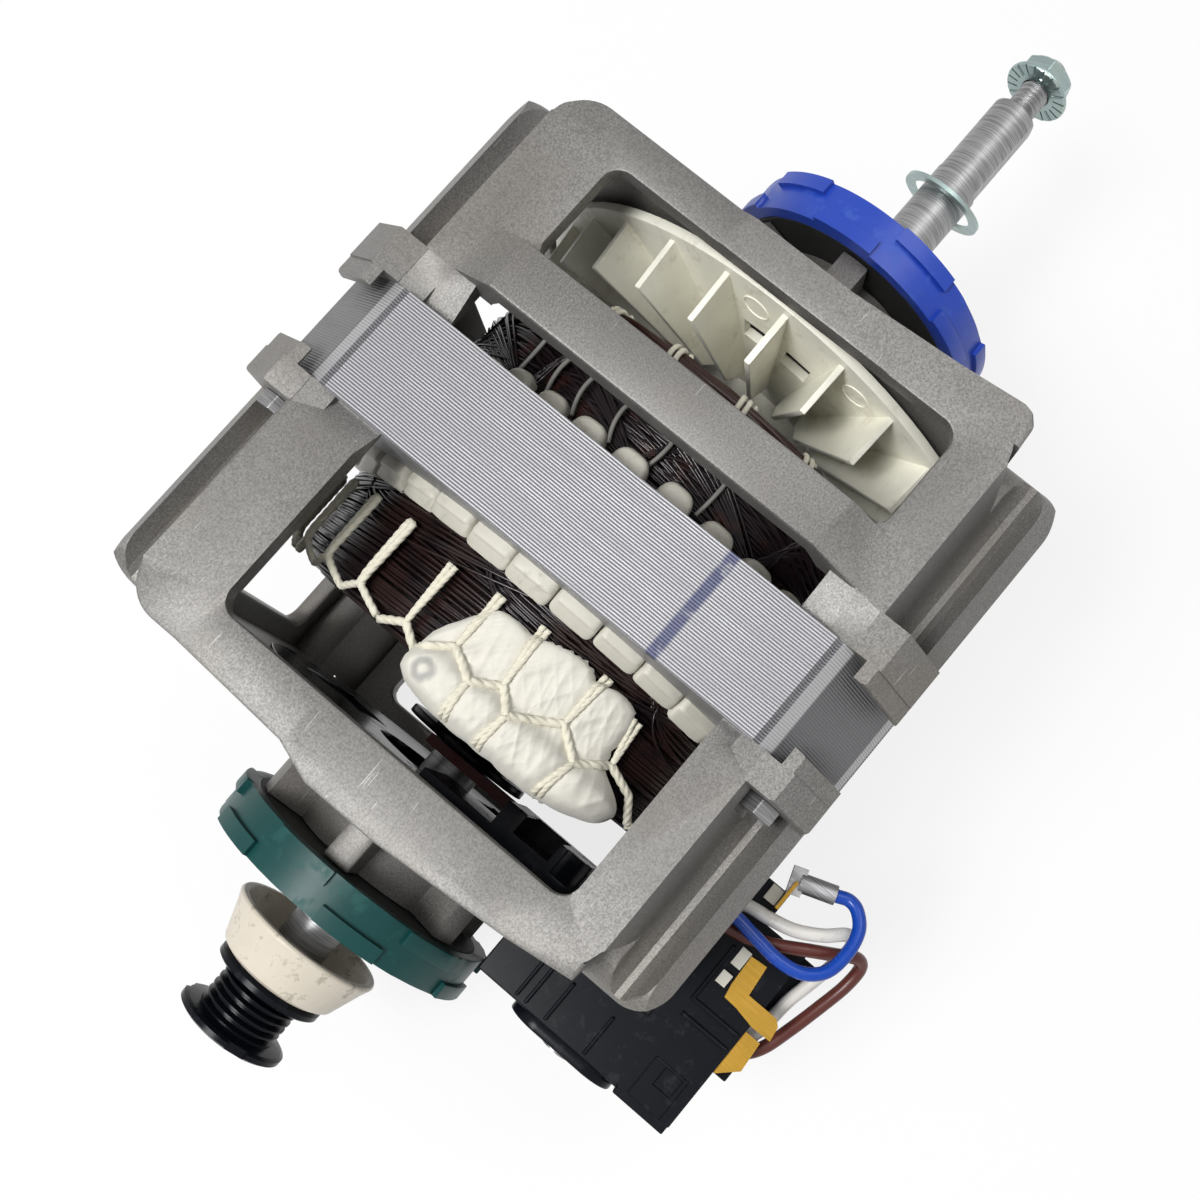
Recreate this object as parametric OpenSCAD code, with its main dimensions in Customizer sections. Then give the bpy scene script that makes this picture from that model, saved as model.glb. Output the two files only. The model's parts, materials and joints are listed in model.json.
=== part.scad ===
// Drive motor of a laundry dryer, open frame, with the blower and belt on one shaft.
// The shaft runs along X with the blower end at +X, and Z is up.
// The origin is the centre of the lamination stack, on the shaft axis.

/* [Stator] */
// Length of the lamination stack along the shaft
stack_len = 25; // [20:1:30]
// Width of the stack across its flats
stack_w = 145; // [141:1:150]
// Depth cut from each corner of the stack
corner_cut = 14.7; // [13:0.1:16]
// Width of the sloped strip beside each flat
strip_w = 3.5; // [2:0.5:5]
// Drop of the sloped strip
strip_drop = 1.8; // [1:0.2:2.4]
// Radius of the rotor bore in the stack
bore_r = 39; // [37:0.5:40]
// Number of winding slots
slots = 36; // [24:6:42]
// Radius at the bottom of the slots
slot_r = 59; // [56:0.5:61]
// Width of a slot at its bottom
slot_w = 6.2; // [4.5:0.1:6.6]
// Length of an insulator cuff outside the stack
cuff_len = 5; // [4:0.5:6]
// Width of an insulator cuff
cuff_w = 8.4; // [6:0.2:9]
// Height of the insulator cuffs above the winding cores
cuff_over = 5; // [3:0.5:6]

/* [Windings] */
// Inner radius of the end windings
wind_in_r = 45; // [43:0.5:46]
// Outer radius of the winding cores
wind_out_r = 60; // [58:0.5:61]
// Reach of the blower side winding from the stack face
wind_reach_b = 24; // [20:0.5:25]
// Reach of the pulley side winding from the stack face
wind_reach_p = 29; // [25:0.5:30]
// Diameter of one bundle of turns
turn_d = 2.5; // [2:0.1:2.6]
// Spacing of the bundles on the winding
turn_pitch = 3; // [2.95:0.05:3.3]
// Diameter of the lacing cord
lace_d = 1.6; // [1:0.2:2]
// Number of lacing stitches on the pulley side winding
lace_count = 24; // [16:1:25]
// Diameter of the lead bundle beside the blower winding
bundle_d = 4.6; // [3.6:0.2:5]
// Thickness of the wrapped thermal protector
protector_h = 7; // [5:0.5:8]

/* [Brackets] */
// Distance from the motor centre to the outside of each end wall
bracket_end = 67; // [65:0.5:70]
// Wall of the cast brackets
wall = 4.5; // [4:0.25:5]
// Half width of the top and bottom plates
plate_half = 57; // [56:0.5:58]
// Half height of the side plates
side_half = 59; // [58:0.5:60]
// Distance of the bottom of a corner channel from the shaft, across the motor
channel_y = 63.6; // [63:0.2:64]
// Height of the bottom of a corner channel above the shaft
channel_z = 54.4; // [53.8:0.2:55]
// Half width of the windows
window_half = 43.2; // [42:0.2:44]
// Sideways shift of the top windows
window_shift = 3.2; // [0:0.2:4]
// Distance from the motor centre to the far edge of the blower side windows
window_end_b = 58.4; // [57:0.2:59]
// Distance from the motor centre to the far edge of the pulley side windows
window_end_p = 57; // [55:0.25:58]
// Radius of the window corners
window_r = 4; // [3:0.5:8]
// Radius of the bracket corners seen from above
plan_r = 9; // [6:0.5:10]
// Length of a blower bracket ear along the shaft
ear_len_b = 9; // [7:0.5:10]
// Length of a pulley bracket ear along the shaft
ear_len_p = 6.5; // [5:0.5:8]
// Thickness of an ear outside the cut corner of the stack
ear_wrap = 5.2; // [4:0.2:6]
// Reach of the locating tabs over the laminations
tab_len = 4; // [3:0.5:5]
// Rise of the bridge bar above the top plate
bridge_rise = 6.5; // [4:0.5:8]
// Width of the bridge bars along the shaft
bridge_w = 11.5; // [9:0.5:13]
// Outer radius of the bearing bosses
boss_r = 20; // [18:0.5:21]
// Radius where a boss meets its end wall
boss_root_r = 27; // [25:0.5:29]
// Distance of the through bolts from the centre planes
bolt_at = 62; // [61.5:0.25:62.5]
// Radius of the through bolts
bolt_r = 2; // [1.8:0.1:2.2]
// Width of a bolt head across its flats
bolt_head_w = 7.9; // [7:0.1:8]

/* [Mounting rings] */
// Outer radius of the pads on the mounting rings
ring_r = 36.3; // [34:0.1:38]
// Width of a mounting ring along the shaft
ring_w = 10.5; // [8:0.5:12]
// Height of the ring pads
pad_h = 1.2; // [0.8:0.1:1.6]
// Thickness of the ring under the pads
ring_t = 3; // [2.4:0.1:3.6]
// Distance from the motor centre to the near edge of the pulley end ring
ring_at_p = 86.5; // [85:0.5:88]
// Distance from the motor centre to the near edge of the blower end ring
ring_at_b = 93; // [91:0.5:95]

/* [Shaft and bearings] */
// Radius of the shaft
shaft_r = 6.55; // [6.55:0.05:6.7]
// Radius of the blower seat on the shaft
seat_r = 6.35; // [6.2:0.05:6.35]
// Length of the blower seat
seat_len = 24; // [20:0.5:24]
// Distance from the motor centre to the shoulder at the blower end
shoulder_at = 164; // [158:1:170]
// Distance from the motor centre to the pulley end of the shaft
tail_at = 136.5; // [136.5:0.5:139]
// Radius of the threaded end
thread_r = 3.95; // [3.7:0.05:3.95]
// Length of the threaded end
thread_len = 17.5; // [16:0.5:22]
// Radial running clearance of the bearings
running = 0.04; // [0.02:0.01:0.06]
// Outer radius of the bearing bushes
bush_r = 10; // [9.5:0.1:10.5]
// Length of the bearing bushes
bush_len = 22; // [18:0.5:24]
// Length of the flat on the shaft behind the blower seat
flat_over = 2; // [1:0.5:3]
// Depth of the flat
flat_depth = 0.7; // [0.4:0.1:0.8]

/* [Rotor and fan] */
// Air gap between rotor and stack
air_gap = 0.4; // [0.35:0.05:0.6]
// Radius of the fan
fan_r = 66; // [62:0.5:66]
// Distance from the motor centre to the front of the fan disc
fan_at = 58.8; // [56:0.2:59]
// Thickness of the fan disc
fan_t = 2.2; // [1.8:0.1:2.4]
// Depth of the fan blades
blade_depth = 12.3; // [10:0.1:13]
// Thickness of the fan blades
blade_t = 1.4; // [1:0.1:2]
// Number of fan blades
blades = 26; // [20:2:30]

/* [Belt pulley] */
// Outer radius of the belt ribs
rib_r = 10.1; // [9.5:0.1:11]
// Spacing of the belt ribs
rib_pitch = 2; // [1.9:0.05:2.4]
// Number of belt ribs
rib_count = 5; // [4:1:5]
// Depth of the belt grooves
groove_depth = 1.6; // [1.2:0.1:2]
// Radius of the pulley flanges
flange_r = 14.1; // [13:0.1:15]
// Radius of the open end of the pulley collar
cup_r = 19.6; // [18:0.2:21]
// Length of the pulley collar
cup_len = 12.2; // [10:0.2:13]

/* [Switch] */
// Height of the switch housing
switch_h = 32; // [28:1:36]
// Height of the top of the switch housing above the shaft
switch_top = 12; // [8:1:16]
// Reach of the switch housing outside the bracket
switch_reach = 19.5; // [17:0.5:22]
// Travel of the governor collar
collar_travel = 4; // [3:0.5:4]

/* [Hidden] */

round_fn = 96;
small_fn = 32;
seat_gap = 0.3;
press = 0.02;
half = stack_w / 2;
face = stack_len / 2;
flat_half = half - corner_cut - strip_w;
cuff_end = face + cuff_len;
cuff_r = wind_out_r + cuff_over;
inner_half = half - wall;
cavity_end = bracket_end - wall;
bridge_at = face + ear_len_b;
boss_end_p = ring_at_p + ring_w + 1;
boss_end_b = ring_at_b + ring_w + 1;
ring_band_r = ring_r - pad_h;
ring_in_r = ring_band_r - ring_t;
steel = [0.72, 0.72, 0.70];
cast = [0.60, 0.58, 0.55];
ivory = [0.92, 0.90, 0.83];
black = [0.07, 0.07, 0.08];
copper = [0.16, 0.08, 0.07];

// Points of the first quadrant, mirrored into all four
function turned_back(l) = [for (i = [len(l) - 1 : -1 : 0]) l[i]];
function four_way(l) = concat(l, turned_back([for (p = l) [p.x, -p.y]]),
    [for (p = l) [-p.x, -p.y]], turned_back([for (p = l) [-p.x, p.y]]));

// A flat outline in Y and Z, drawn out along X
module along_x(x, length) {
    translate([x, 0, 0]) rotate([90, 0, 90]) linear_extrude(length) children();
}
// An outline of radius and X position, turned about the shaft axis
module turned(points, fn = round_fn) {
    rotate([0, 90, 0]) rotate_extrude($fn = fn) polygon(points);
}
// Part of a turn, from one angle to another, measured from Y towards Z
module turned_arc(points, start, sweep) {
    rotate([start, 0, 0]) rotate([0, 90, 0]) rotate([0, 0, 90])
        rotate_extrude(angle = sweep, $fn = round_fn) polygon(points);
}
// A round rod along X
module rod_x(x, length, r, fn = round_fn) {
    translate([x, 0, 0]) rotate([0, 90, 0]) cylinder(r = r, h = length, $fn = fn);
}
// A plain ring about the shaft axis
module ring_x(x, length, outer, inner) {
    turned([[inner, x], [outer, x], [outer, x + length], [inner, x + length]]);
}
// Copies at the four corners, by mirroring
module corners() {
    for (my = [0, 1]) {
        for (mz = [0, 1]) {
            mirror([0, my, 0]) mirror([0, 0, mz]) children();
        }
    }
}
// Copies spaced evenly about the shaft axis
module spaced(count, first = 0) {
    for (i = [0 : count - 1]) {
        rotate([first + i * 360 / count, 0, 0]) children();
    }
}
// A flat hexagon, from its width across the flats
module hexagon(w) {
    intersection() {
        square([w, 2 * w], center = true);
        rotate(60) square([w, 2 * w], center = true);
        rotate(120) square([w, 2 * w], center = true);
    }
}
// A flat rectangle with round corners
module round_rect(w, h, r) {
    translate([r, 0]) square([w - 2 * r, h]);
    translate([0, r]) square([w, h - 2 * r]);
    for (x = [r, w - r]) {
        for (y = [r, h - r]) {
            translate([x, y]) circle(r = r, $fn = small_fn);
        }
    }
}

// Tube along a list of points: each ring stands square to the path, with its first side kept steady
function unit(v) = v / norm(v);
function path_dir(p, i) = unit(p[min(i + 1, len(p) - 1)] - p[max(i - 1, 0)]);
function level(v, t) = unit(v - (v * t) * t);
function carried(p, v, i = 0, done = []) = i == len(p) ? done
    : let (side = level(v, path_dir(p, i))) carried(p, side, i + 1, concat(done, [side]));
function tube_points(p, sides_list, r, n) = [for (i = [0 : len(p) - 1])
    let (t = path_dir(p, i), u = sides_list[i], w = cross(t, u))
    for (k = [0 : n - 1]) p[i] + r * (cos(k * 360 / n) * u + sin(k * 360 / n) * w)];
function tube_faces(rings, n) = concat(
    [for (k = [1 : n - 2]) [0, k + 1, k]],
    [for (i = [0 : rings - 2], k = [0 : n - 1]) let (a = i * n + k, b = i * n + (k + 1) % n) [a, b, b + n]],
    [for (i = [0 : rings - 2], k = [0 : n - 1]) let (a = i * n + k, b = i * n + (k + 1) % n) [a, b + n, a + n]],
    [for (k = [1 : n - 2]) let (z = (rings - 1) * n) [z, z + k, z + k + 1]]);
module tube(p, r, n, first_side) {
    polyhedron(points = tube_points(p, carried(p, first_side), r, n), faces = tube_faces(len(p), n), convexity = 10);
}
// Smooth curve through chosen points, with a few steps between each two
function bend(a, b, c, d, t) = 0.5 * ((2 * b) + (c - a) * t + (2 * a - 5 * b + 4 * c - d) * t * t
    + (3 * b - a - 3 * c + d) * t * t * t);
function smooth(p, steps) = concat([for (i = [0 : len(p) - 2], s = [0 : steps - 1])
    bend(p[max(i - 1, 0)], p[i], p[i + 1], p[min(i + 2, len(p) - 1)], s / steps)], [p[len(p) - 1]]);

// Lamination stack outline with cut corners
stack_corner = [[flat_half, half], [flat_half + strip_w, half - strip_drop],
    [half - strip_drop, flat_half + strip_w], [half, flat_half]];
tooth_tip = 1.6;
slot_mouth = 2.4;
slot_in_r = bore_r + tooth_tip;
slot_in_w = slot_w * 0.68;
edge_groove = 1.4;

module slot_outline(gap) {
    polygon([[slot_in_r + gap, slot_in_w / 2 - gap], [slot_r, slot_w / 2 - gap],
        [slot_r, gap - slot_w / 2], [slot_in_r + gap, gap - slot_in_w / 2]]);
    translate([slot_r, 0]) circle(r = slot_w / 2 - gap, $fn = 24);
}

module stator_core() {
    color(steel) difference() {
        along_x(-face, stack_len) polygon(four_way(stack_corner));
        rod_x(-stack_len, 2 * stack_len, bore_r);
        spaced(slots) along_x(-stack_len, 2 * stack_len) {
            slot_outline(0);
            translate([bore_r - 1, -slot_mouth / 2]) square([tooth_tip + 2, slot_mouth]);
        }
        corners() {
            translate([0, bolt_at, bolt_at]) rod_x(-stack_len, 2 * stack_len, bolt_r + 0.2, small_fn);
            for (p = [[flat_half, half], [half, flat_half]]) {
                translate([0, p.x, p.y]) along_x(-stack_len, 2 * stack_len) rotate(45)
                    square(edge_groove, center = true);
            }
        }
    }
}

// Slot liner with a rounded cuff at both ends of the stack, open for the winding that fills the slot
cuff_round = 2;
cuff_in_r = 52.5;
liner_gap = 0.1;
liner_t = 0.6;
module slot_insulators() {
    color([0.84, 0.83, 0.78]) spaced(slots) difference() {
        union() {
            along_x(-cuff_end + cuff_round, 2 * (cuff_end - cuff_round)) slot_outline(liner_gap);
            cuff();
            mirror([1, 0, 0]) cuff();
        }
        along_x(-cuff_end - 1, 2 * cuff_end + 2) slot_outline(liner_gap + liner_t);
    }
}
// Cuff outline in X and across the slot, drawn out along the radius
module cuff() {
    translate([face, 0, 0]) rotate([-90, 0, 0]) translate([0, 0, cuff_in_r]) linear_extrude(cuff_r - cuff_in_r) {
        translate([0, -cuff_w / 2]) square([cuff_len - cuff_round, cuff_w]);
        translate([0, cuff_round - cuff_w / 2]) square([cuff_len, cuff_w - 2 * cuff_round]);
        for (s = [-1, 1]) {
            translate([cuff_len - cuff_round, s * (cuff_w / 2 - cuff_round)]) circle(r = cuff_round, $fn = 24);
        }
    }
}
// Copper inside the slots, joining the two end windings
copper_gap = 0.1;
module slot_windings() {
    color(copper) spaced(slots) along_x(-cuff_end, 2 * cuff_end) slot_outline(liner_gap + liner_t + copper_gap);
}

// End winding: a plain ring with one unbroken tube wound over its outer side
wind_corner = (wind_out_r - wind_in_r) / 3;
turn_r = turn_d / 2;
rings_per_loop = 24;
chord_sag = wind_out_r * (1 - cos(180 / rings_per_loop));
core_r = wind_out_r - chord_sag;
function wind_end(reach) = face + reach - turn_d;
function arc_points(cx, cr, r, a0, a1, n) = [for (i = [0 : n]) let (a = a0 + (a1 - a0) * i / n)
    [cr + r * sin(a), cx + r * cos(a)]];
function core_outline(reach) = concat(
    [[wind_in_r, cuff_end], [wind_in_r, wind_end(reach) - wind_corner]],
    arc_points(wind_end(reach) - wind_corner, wind_in_r + wind_corner, wind_corner, -90, 0, 6),
    arc_points(wind_end(reach) - wind_corner, core_r - wind_corner, wind_corner, 0, 90, 6),
    [[core_r, cuff_end]]);
module winding_core(reach) {
    color(copper) turned(core_outline(reach), 72);
}
// Place on the winding surface at a distance along its outline, as X and radius
turn_off = wind_corner + turn_r + seat_gap / 2;
corner_run = turn_off * PI / 2;
face_run = wind_out_r - wind_in_r - 2 * wind_corner;
stop_short = cuff_end + 2 * turn_d + 0.5;
function side_run(reach) = wind_end(reach) - wind_corner - stop_short;
function wind_run(reach) = corner_run * 2 + face_run + side_run(reach);
function on_winding(s, reach) = let (xc = wind_end(reach) - wind_corner, a1 = corner_run, a2 = a1 + face_run,
    a3 = a2 + corner_run)
    s < a1 ? [xc + turn_off * sin(90 * s / a1), wind_in_r + wind_corner - turn_off * cos(90 * s / a1)]
    : s < a2 ? [xc + turn_off, wind_in_r + wind_corner + s - a1]
    : s < a3 ? [xc + turn_off * cos(90 * (s - a2) / corner_run),
        wind_out_r - wind_corner + turn_off * sin(90 * (s - a2) / corner_run)]
    : [xc - (s - a3), wind_out_r - wind_corner + turn_off];
function wind_loops(reach) = floor(wind_run(reach) / turn_pitch);
function wind_point(j, reach) = let (s = wind_run(reach) * j / (wind_loops(reach) * rings_per_loop),
    q = on_winding(s, reach), a = j * 360 / rings_per_loop) [q.x, q.y * cos(a), q.y * sin(a)];
// Lead-in and lead-out: the tube turns towards the stack and runs straight for one diameter
function lead_points(reach, last) = let (n = wind_loops(reach) * rings_per_loop, s = last ? wind_run(reach) : 0,
    q = on_winding(s, reach), a0 = last ? n * 360 / rings_per_loop : 0, dir = last ? 1 : -1,
    half_turn = turn_d / q.y * 180 / PI)
    [for (t = [[0.35, 0.75], [0.85, 0.95], [1.3, 1], [2.2, 1]]) let (a = a0 + dir * half_turn * t[1])
        [q.x - turn_d * t[0], q.y * cos(a), q.y * sin(a)]];
function wind_path(reach) = concat(turned_back(lead_points(reach, false)),
    [for (j = [0 : wind_loops(reach) * rings_per_loop]) wind_point(j, reach)], lead_points(reach, true));
function gaps_between(p, d) = [for (i = [0 : len(p) - 1], j = [i + 12 : len(p) - 1]) norm(p[i] - p[j]) - d];
module winding_turns(reach) {
    path = wind_path(reach);
    echo(least_gap = min(gaps_between(path, turn_d)), loops = wind_loops(reach));
    color([0.22, 0.10, 0.08]) tube(path, turn_r, 6, [0, 1, 0]);
}
module winding_core_blower() {
    winding_core(wind_reach_b);
}
module winding_core_pulley() {
    mirror([1, 0, 0]) winding_core(wind_reach_p);
}
module winding_turns_blower() {
    winding_turns(wind_reach_b);
}
module winding_turns_pulley() {
    mirror([1, 0, 0]) winding_turns(wind_reach_p);
}

// Lacing cord on the pulley side winding: each stitch runs over the outer side towards the stack and back,
// and the cord goes on to the next stitch along the outer corner
lace_lift = 0.4;
lace_off = turn_off + turn_r + lace_d / 2 + lace_lift;
lace_start = 143;
lace_sweep = 290;
lace_x = face + wind_reach_p - turn_d - wind_corner;
lace_run = 13;
lace_form = [[0, 0.35], [0.03, 0.7], [0.06, 1.05], [0.09, 2], [0.25, 2], [0.28, 1.05], [0.31, 0.7], [0.34, 0.35]];
lace_steps = len(lace_form);
function lace_point(i) = let (stitch = floor(i / lace_steps), f = lace_form[i % lace_steps],
    a = lace_start + (stitch + f.x) * lace_sweep / lace_count, u = 90 * min(f.y, 1),
    x = lace_x + lace_off * cos(u) - max(f.y - 1, 0) * lace_run, r = wind_out_r - wind_corner + lace_off * sin(u))
    [-x, r * cos(a), r * sin(a)];
module lacing_cord() {
    path = [for (i = [0 : lace_count * lace_steps - 1]) lace_point(i)];
    color([0.86, 0.84, 0.72]) tube(path, lace_d / 2, 6, [-1, 0, 0]);
}

// Cloth-wrapped thermal protector lying on the pulley side winding
protector_in_r = wind_out_r + turn_d + 2 * seat_gap;
protector_middle = [-33, -17];
protector_outline = [[-33.5, 9], [-27, 5.5], [-23, -1], [-20.4, -9], [-18.6, -17], [-18.5, -26], [-20.6, -32.5],
    [-26, -34], [-30.5, -36.5], [-33, -42.5], [-37, -46], [-42, -44], [-44, -36], [-44.6, -22], [-45, -8],
    [-46.2, 1], [-45, 7], [-39.5, 10]];
protector_layers = [[0.66, 1], [0.88, 0.95], [1, 0.84]];
module thermal_protector() {
    color([0.93, 0.92, 0.87]) for (layer = protector_layers) {
        intersection() {
            turned_arc([[protector_in_r, -60], [protector_in_r + protector_h * layer[0], -60],
                [protector_in_r + protector_h * layer[0], 0], [protector_in_r, 0]], 60, 90);
            linear_extrude(half + protector_h) polygon([for (p = protector_outline)
                protector_middle + (p - protector_middle) * layer[1]]);
        }
    }
}

// Bundle of winding leads tied beside the blower side winding
bundle_x = face + wind_reach_b + bundle_d / 2 + seat_gap + 0.2;
module lead_bundle() {
    color([0.30, 0.14, 0.10]) rotate([50, 0, 0]) rotate([0, 90, 0]) rotate([0, 0, 90])
        rotate_extrude(angle = 80, $fn = round_fn) translate([wind_out_r - 2, bundle_x])
            circle(d = bundle_d, $fn = 24);
}

// End bracket, drawn for the blower end: cast cage with plates, windows, end wall, boss and ears
ring_room = 2;
boss_taper = 12;
lug_count = 6;
lug_r = 31;
lug_w = 7;
vent_in_r = 33;
vent_out_r = 54;
vent_sweep = 58;
cap_seat_r = 16;
cap_depth = 8.5;
plate_edge = [plate_half + 0.4, half - 1];
side_edge = [half - 3.9, side_half];
channel_corner = [[plate_half, half + 1], plate_edge, [channel_y - 3.4, channel_z + 5.2],
    [channel_y - 2.6, channel_z + 2.8], [channel_y - 1.4, channel_z + 0.9], [channel_y, channel_z],
    [channel_y + 1.4, channel_z + 0.2], [channel_y + 2.7, channel_z + 1.3], side_edge,
    [half + 1, side_half - 6.6], [half + 9, half + 9]];

// Block from the stack to the end wall, with round corners seen from above
module plan_block(half_y, half_z, end = bracket_end) {
    length = end - face;
    translate([face, -half_y, -half_z]) linear_extrude(2 * half_z) {
        square([length - plan_r, 2 * half_y]);
        translate([0, plan_r]) square([length, 2 * half_y - 2 * plan_r]);
        for (y = [plan_r, 2 * half_y - plan_r]) {
            translate([length - plan_r, y]) circle(r = plan_r, $fn = small_fn);
        }
    }
}
cavity_corner = [[plate_half - wall - 1, inner_half], [channel_y - wall - 2.8, channel_z + 3.1],
    [channel_y - wall, channel_z - 3], [channel_y - 1, channel_z - wall], [inner_half, channel_z - wall + 0.6]];
module cage(far_edge) {
    difference() {
        union() {
            plan_block(plate_half, half);
            plan_block(channel_y - 3, half, bracket_end - 6);
            translate([bracket_end, 0, -half]) linear_extrude(2 * half) polygon(far_edge);
            intersection() {
                rotate([90, 0, 0]) plan_block(side_half, half);
                plan_block(half, half);
            }
        }
        along_x(face - 1, cavity_end - face + 1) polygon(four_way(cavity_corner));
        corners() along_x(face - 1, bracket_end) polygon(channel_corner);
    }
}
// One window as a block, cut through a plate that faces up; the near edge may be open
module window_block(near, far) {
    translate([near, -window_half, inner_half - 20])
        linear_extrude(40) round_rect(far - near, 2 * window_half, window_r);
}
module windows(near, far) {
    translate([0, -window_shift, 0]) window_block(near, far);
    for (a = [90, 180, 270]) {
        rotate([a, 0, 0]) window_block(near, far);
    }
}
module vents() {
    for (i = [0 : 3]) {
        turned_arc([[vent_in_r, cavity_end - 1], [vent_out_r, cavity_end - 1],
            [vent_out_r, bracket_end + 6], [vent_in_r, bracket_end + 6]], 45 + i * 90 - vent_sweep / 2, vent_sweep);
    }
}
module boss(boss_end, ring_at) {
    turned([[cap_seat_r + 2, cavity_end], [boss_root_r + 4, cavity_end], [boss_root_r + 4, bracket_end],
        [boss_root_r, bracket_end + 2], [boss_r + 1.5, bracket_end + boss_taper], [boss_r + 1.5, ring_at - seat_gap],
        [boss_r, ring_at - seat_gap], [boss_r, boss_end - 1], [boss_r - 1, boss_end], [cap_seat_r - 2, boss_end]]);
    ring_x(cavity_end, boss_end - cavity_end - 1, boss_r - 1, bush_r);
    intersection() {
        spaced(lug_count, 90) along_x(bracket_end - 1, ring_at - bracket_end + 1 - seat_gap)
            translate([boss_r - 1, -lug_w / 2]) square([lug_r - boss_r + 1, lug_w]);
        rod_x(cavity_end, ring_at, lug_r);
    }
}
module boss_hollow(boss_end) {
    rod_x(face, boss_end, bush_r);
    rod_x(cavity_end - 1, cap_depth + 1, cap_seat_r);
}
// Ear that takes a corner of the stack, with its tab over the laminations
module ear(ear_len) {
    along_x(face, ear_len) polygon([[plate_half - 6, half - 12], [plate_half - 6, half - strip_drop],
        [plate_half, half], [plate_half + 6.5, half], [half, plate_half + 6.5], [half, plate_half - 4],
        [half - 12, plate_half - 6]]);
    along_x(face - tab_len, tab_len + 1) polygon([[flat_half + strip_w + 2.5, half],
        [plate_half + 6, half], [half, plate_half + 6], [half, flat_half + strip_w + 2.5],
        [half - strip_drop + 1.2, flat_half + strip_w + 2.5], [flat_half + strip_w + 2.5, half - strip_drop + 1.2]]);
}
// Slope of a plate down to the ears
module foot_slope(ear_len) {
    for (a = [0, 180]) {
        rotate([a, 0, 0]) translate([0, plate_half - 0.5, 0]) rotate([90, 0, 0])
            linear_extrude(2 * plate_half - 1) polygon([[face - 1, half + 1], [face + ear_len, half + 1],
                [face + ear_len, half], [face + 0.5, half - 3.4], [face - 1, half - 3.4]]);
    }
}
module stack_block() {
    along_x(-face - 1, stack_len + 1) polygon(four_way([for (p = stack_corner) p + [0.1, 0.1]]));
}
bridge_shoulder = 11;
module bridge() {
    foot = window_half + 7;
    low = inner_half + 0.5;
    along_x(bridge_at, bridge_w) polygon([[-foot, half], [bridge_shoulder - foot, half + bridge_rise],
        [foot - bridge_shoulder, half + bridge_rise], [foot, half], [foot, low], [window_half - 2, low],
        [foot - bridge_shoulder - 1, half + 0.6], [bridge_shoulder - foot + 1, half + 0.6],
        [2 - window_half, low], [-foot, low]]);
}
// Raised middle of the end bar on the top plate, with gently sloped ends
pad_rise = 0.4;
pad_slope = 1.4;
module bar_pad(window_end, first_y, last_y) {
    along_x(window_end, bracket_end - window_end) translate([0, half]) polygon([[first_y, -0.1], [first_y, 0],
        [first_y + pad_slope, pad_rise], [last_y - pad_slope, pad_rise], [last_y, 0], [last_y, -0.1]]);
}

// Swell of the end wall beyond its plane, as X and Y
blower_swell = [[-4, -57], [1.2, -56.6], [3, -55], [3.6, -52.5], [2, -38], [0, -10], [-4, -10]];
pulley_swell = [[-4, 46], [-0.2, 46], [1.4, 14], [4.3, 5], [4.3, -12], [1.7, -42], [-0.3, -56], [-4, -56]];
module blower_end_bracket() {
    color(cast) difference() {
        union() {
            difference() {
                cage(blower_swell);
                windows(bridge_at + bridge_w, window_end_b);
                for (a = [0, 90, 180, 270]) {
                    rotate([a, 0, 0]) translate([face - 1, -window_half - 1, inner_half - 20])
                        cube([ear_len_b + 1, 2 * window_half + 2, 40]);
                }
                translate([bridge_at - 1, -window_half + 2, inner_half - 1])
                    cube([bridge_w + 2, 2 * window_half - 4, 20]);
                foot_slope(ear_len_b);
                vents();
            }
            boss(boss_end_b, ring_at_b);
            corners() ear(ear_len_b);
            bridge();
            bar_pad(window_end_b, -29, 14.5);
        }
        boss_hollow(boss_end_b);
        stack_block();
        corners() translate([0, bolt_at, bolt_at]) rod_x(face - 8, ear_len_b + 20, bolt_r + 0.05, small_fn);
    }
}

switch_screw_y = -61.6;
switch_screw_z = -4;
switch_low = switch_top - switch_h;
module pulley_end_bracket() {
    color(cast) mirror([1, 0, 0]) difference() {
        union() {
            difference() {
                cage(pulley_swell);
                windows(face - 12, window_end_p);
                foot_slope(ear_len_p);
                vents();
            }
            boss(boss_end_p, ring_at_p);
            corners() ear(ear_len_p);
            bar_pad(window_end_p, -35, 13);
        }
        boss_hollow(boss_end_p);
        stack_block();
        corners() translate([0, bolt_at, bolt_at]) {
            rod_x(face - 8, ear_len_p + 20, bolt_r + 0.2, small_fn);
            rod_x(face + ear_len_p, bolt_head_h + 1.6, bolt_head_w / 2 + 1, small_fn);
        }
        translate([0, switch_screw_y, switch_screw_z]) rod_x(cavity_end - 2, 10, 1.6, small_fn);
    }
}

bolt_head_h = 3.4;
module through_bolts() {
    head = -(face + ear_len_p);
    color([0.78, 0.78, 0.76]) corners() translate([0, bolt_at, bolt_at]) {
        rod_x(head, stack_len + ear_len_p + ear_len_b - 0.6, bolt_r, small_fn);
        along_x(head - bolt_head_h, bolt_head_h) hexagon(bolt_head_w);
    }
}

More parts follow.
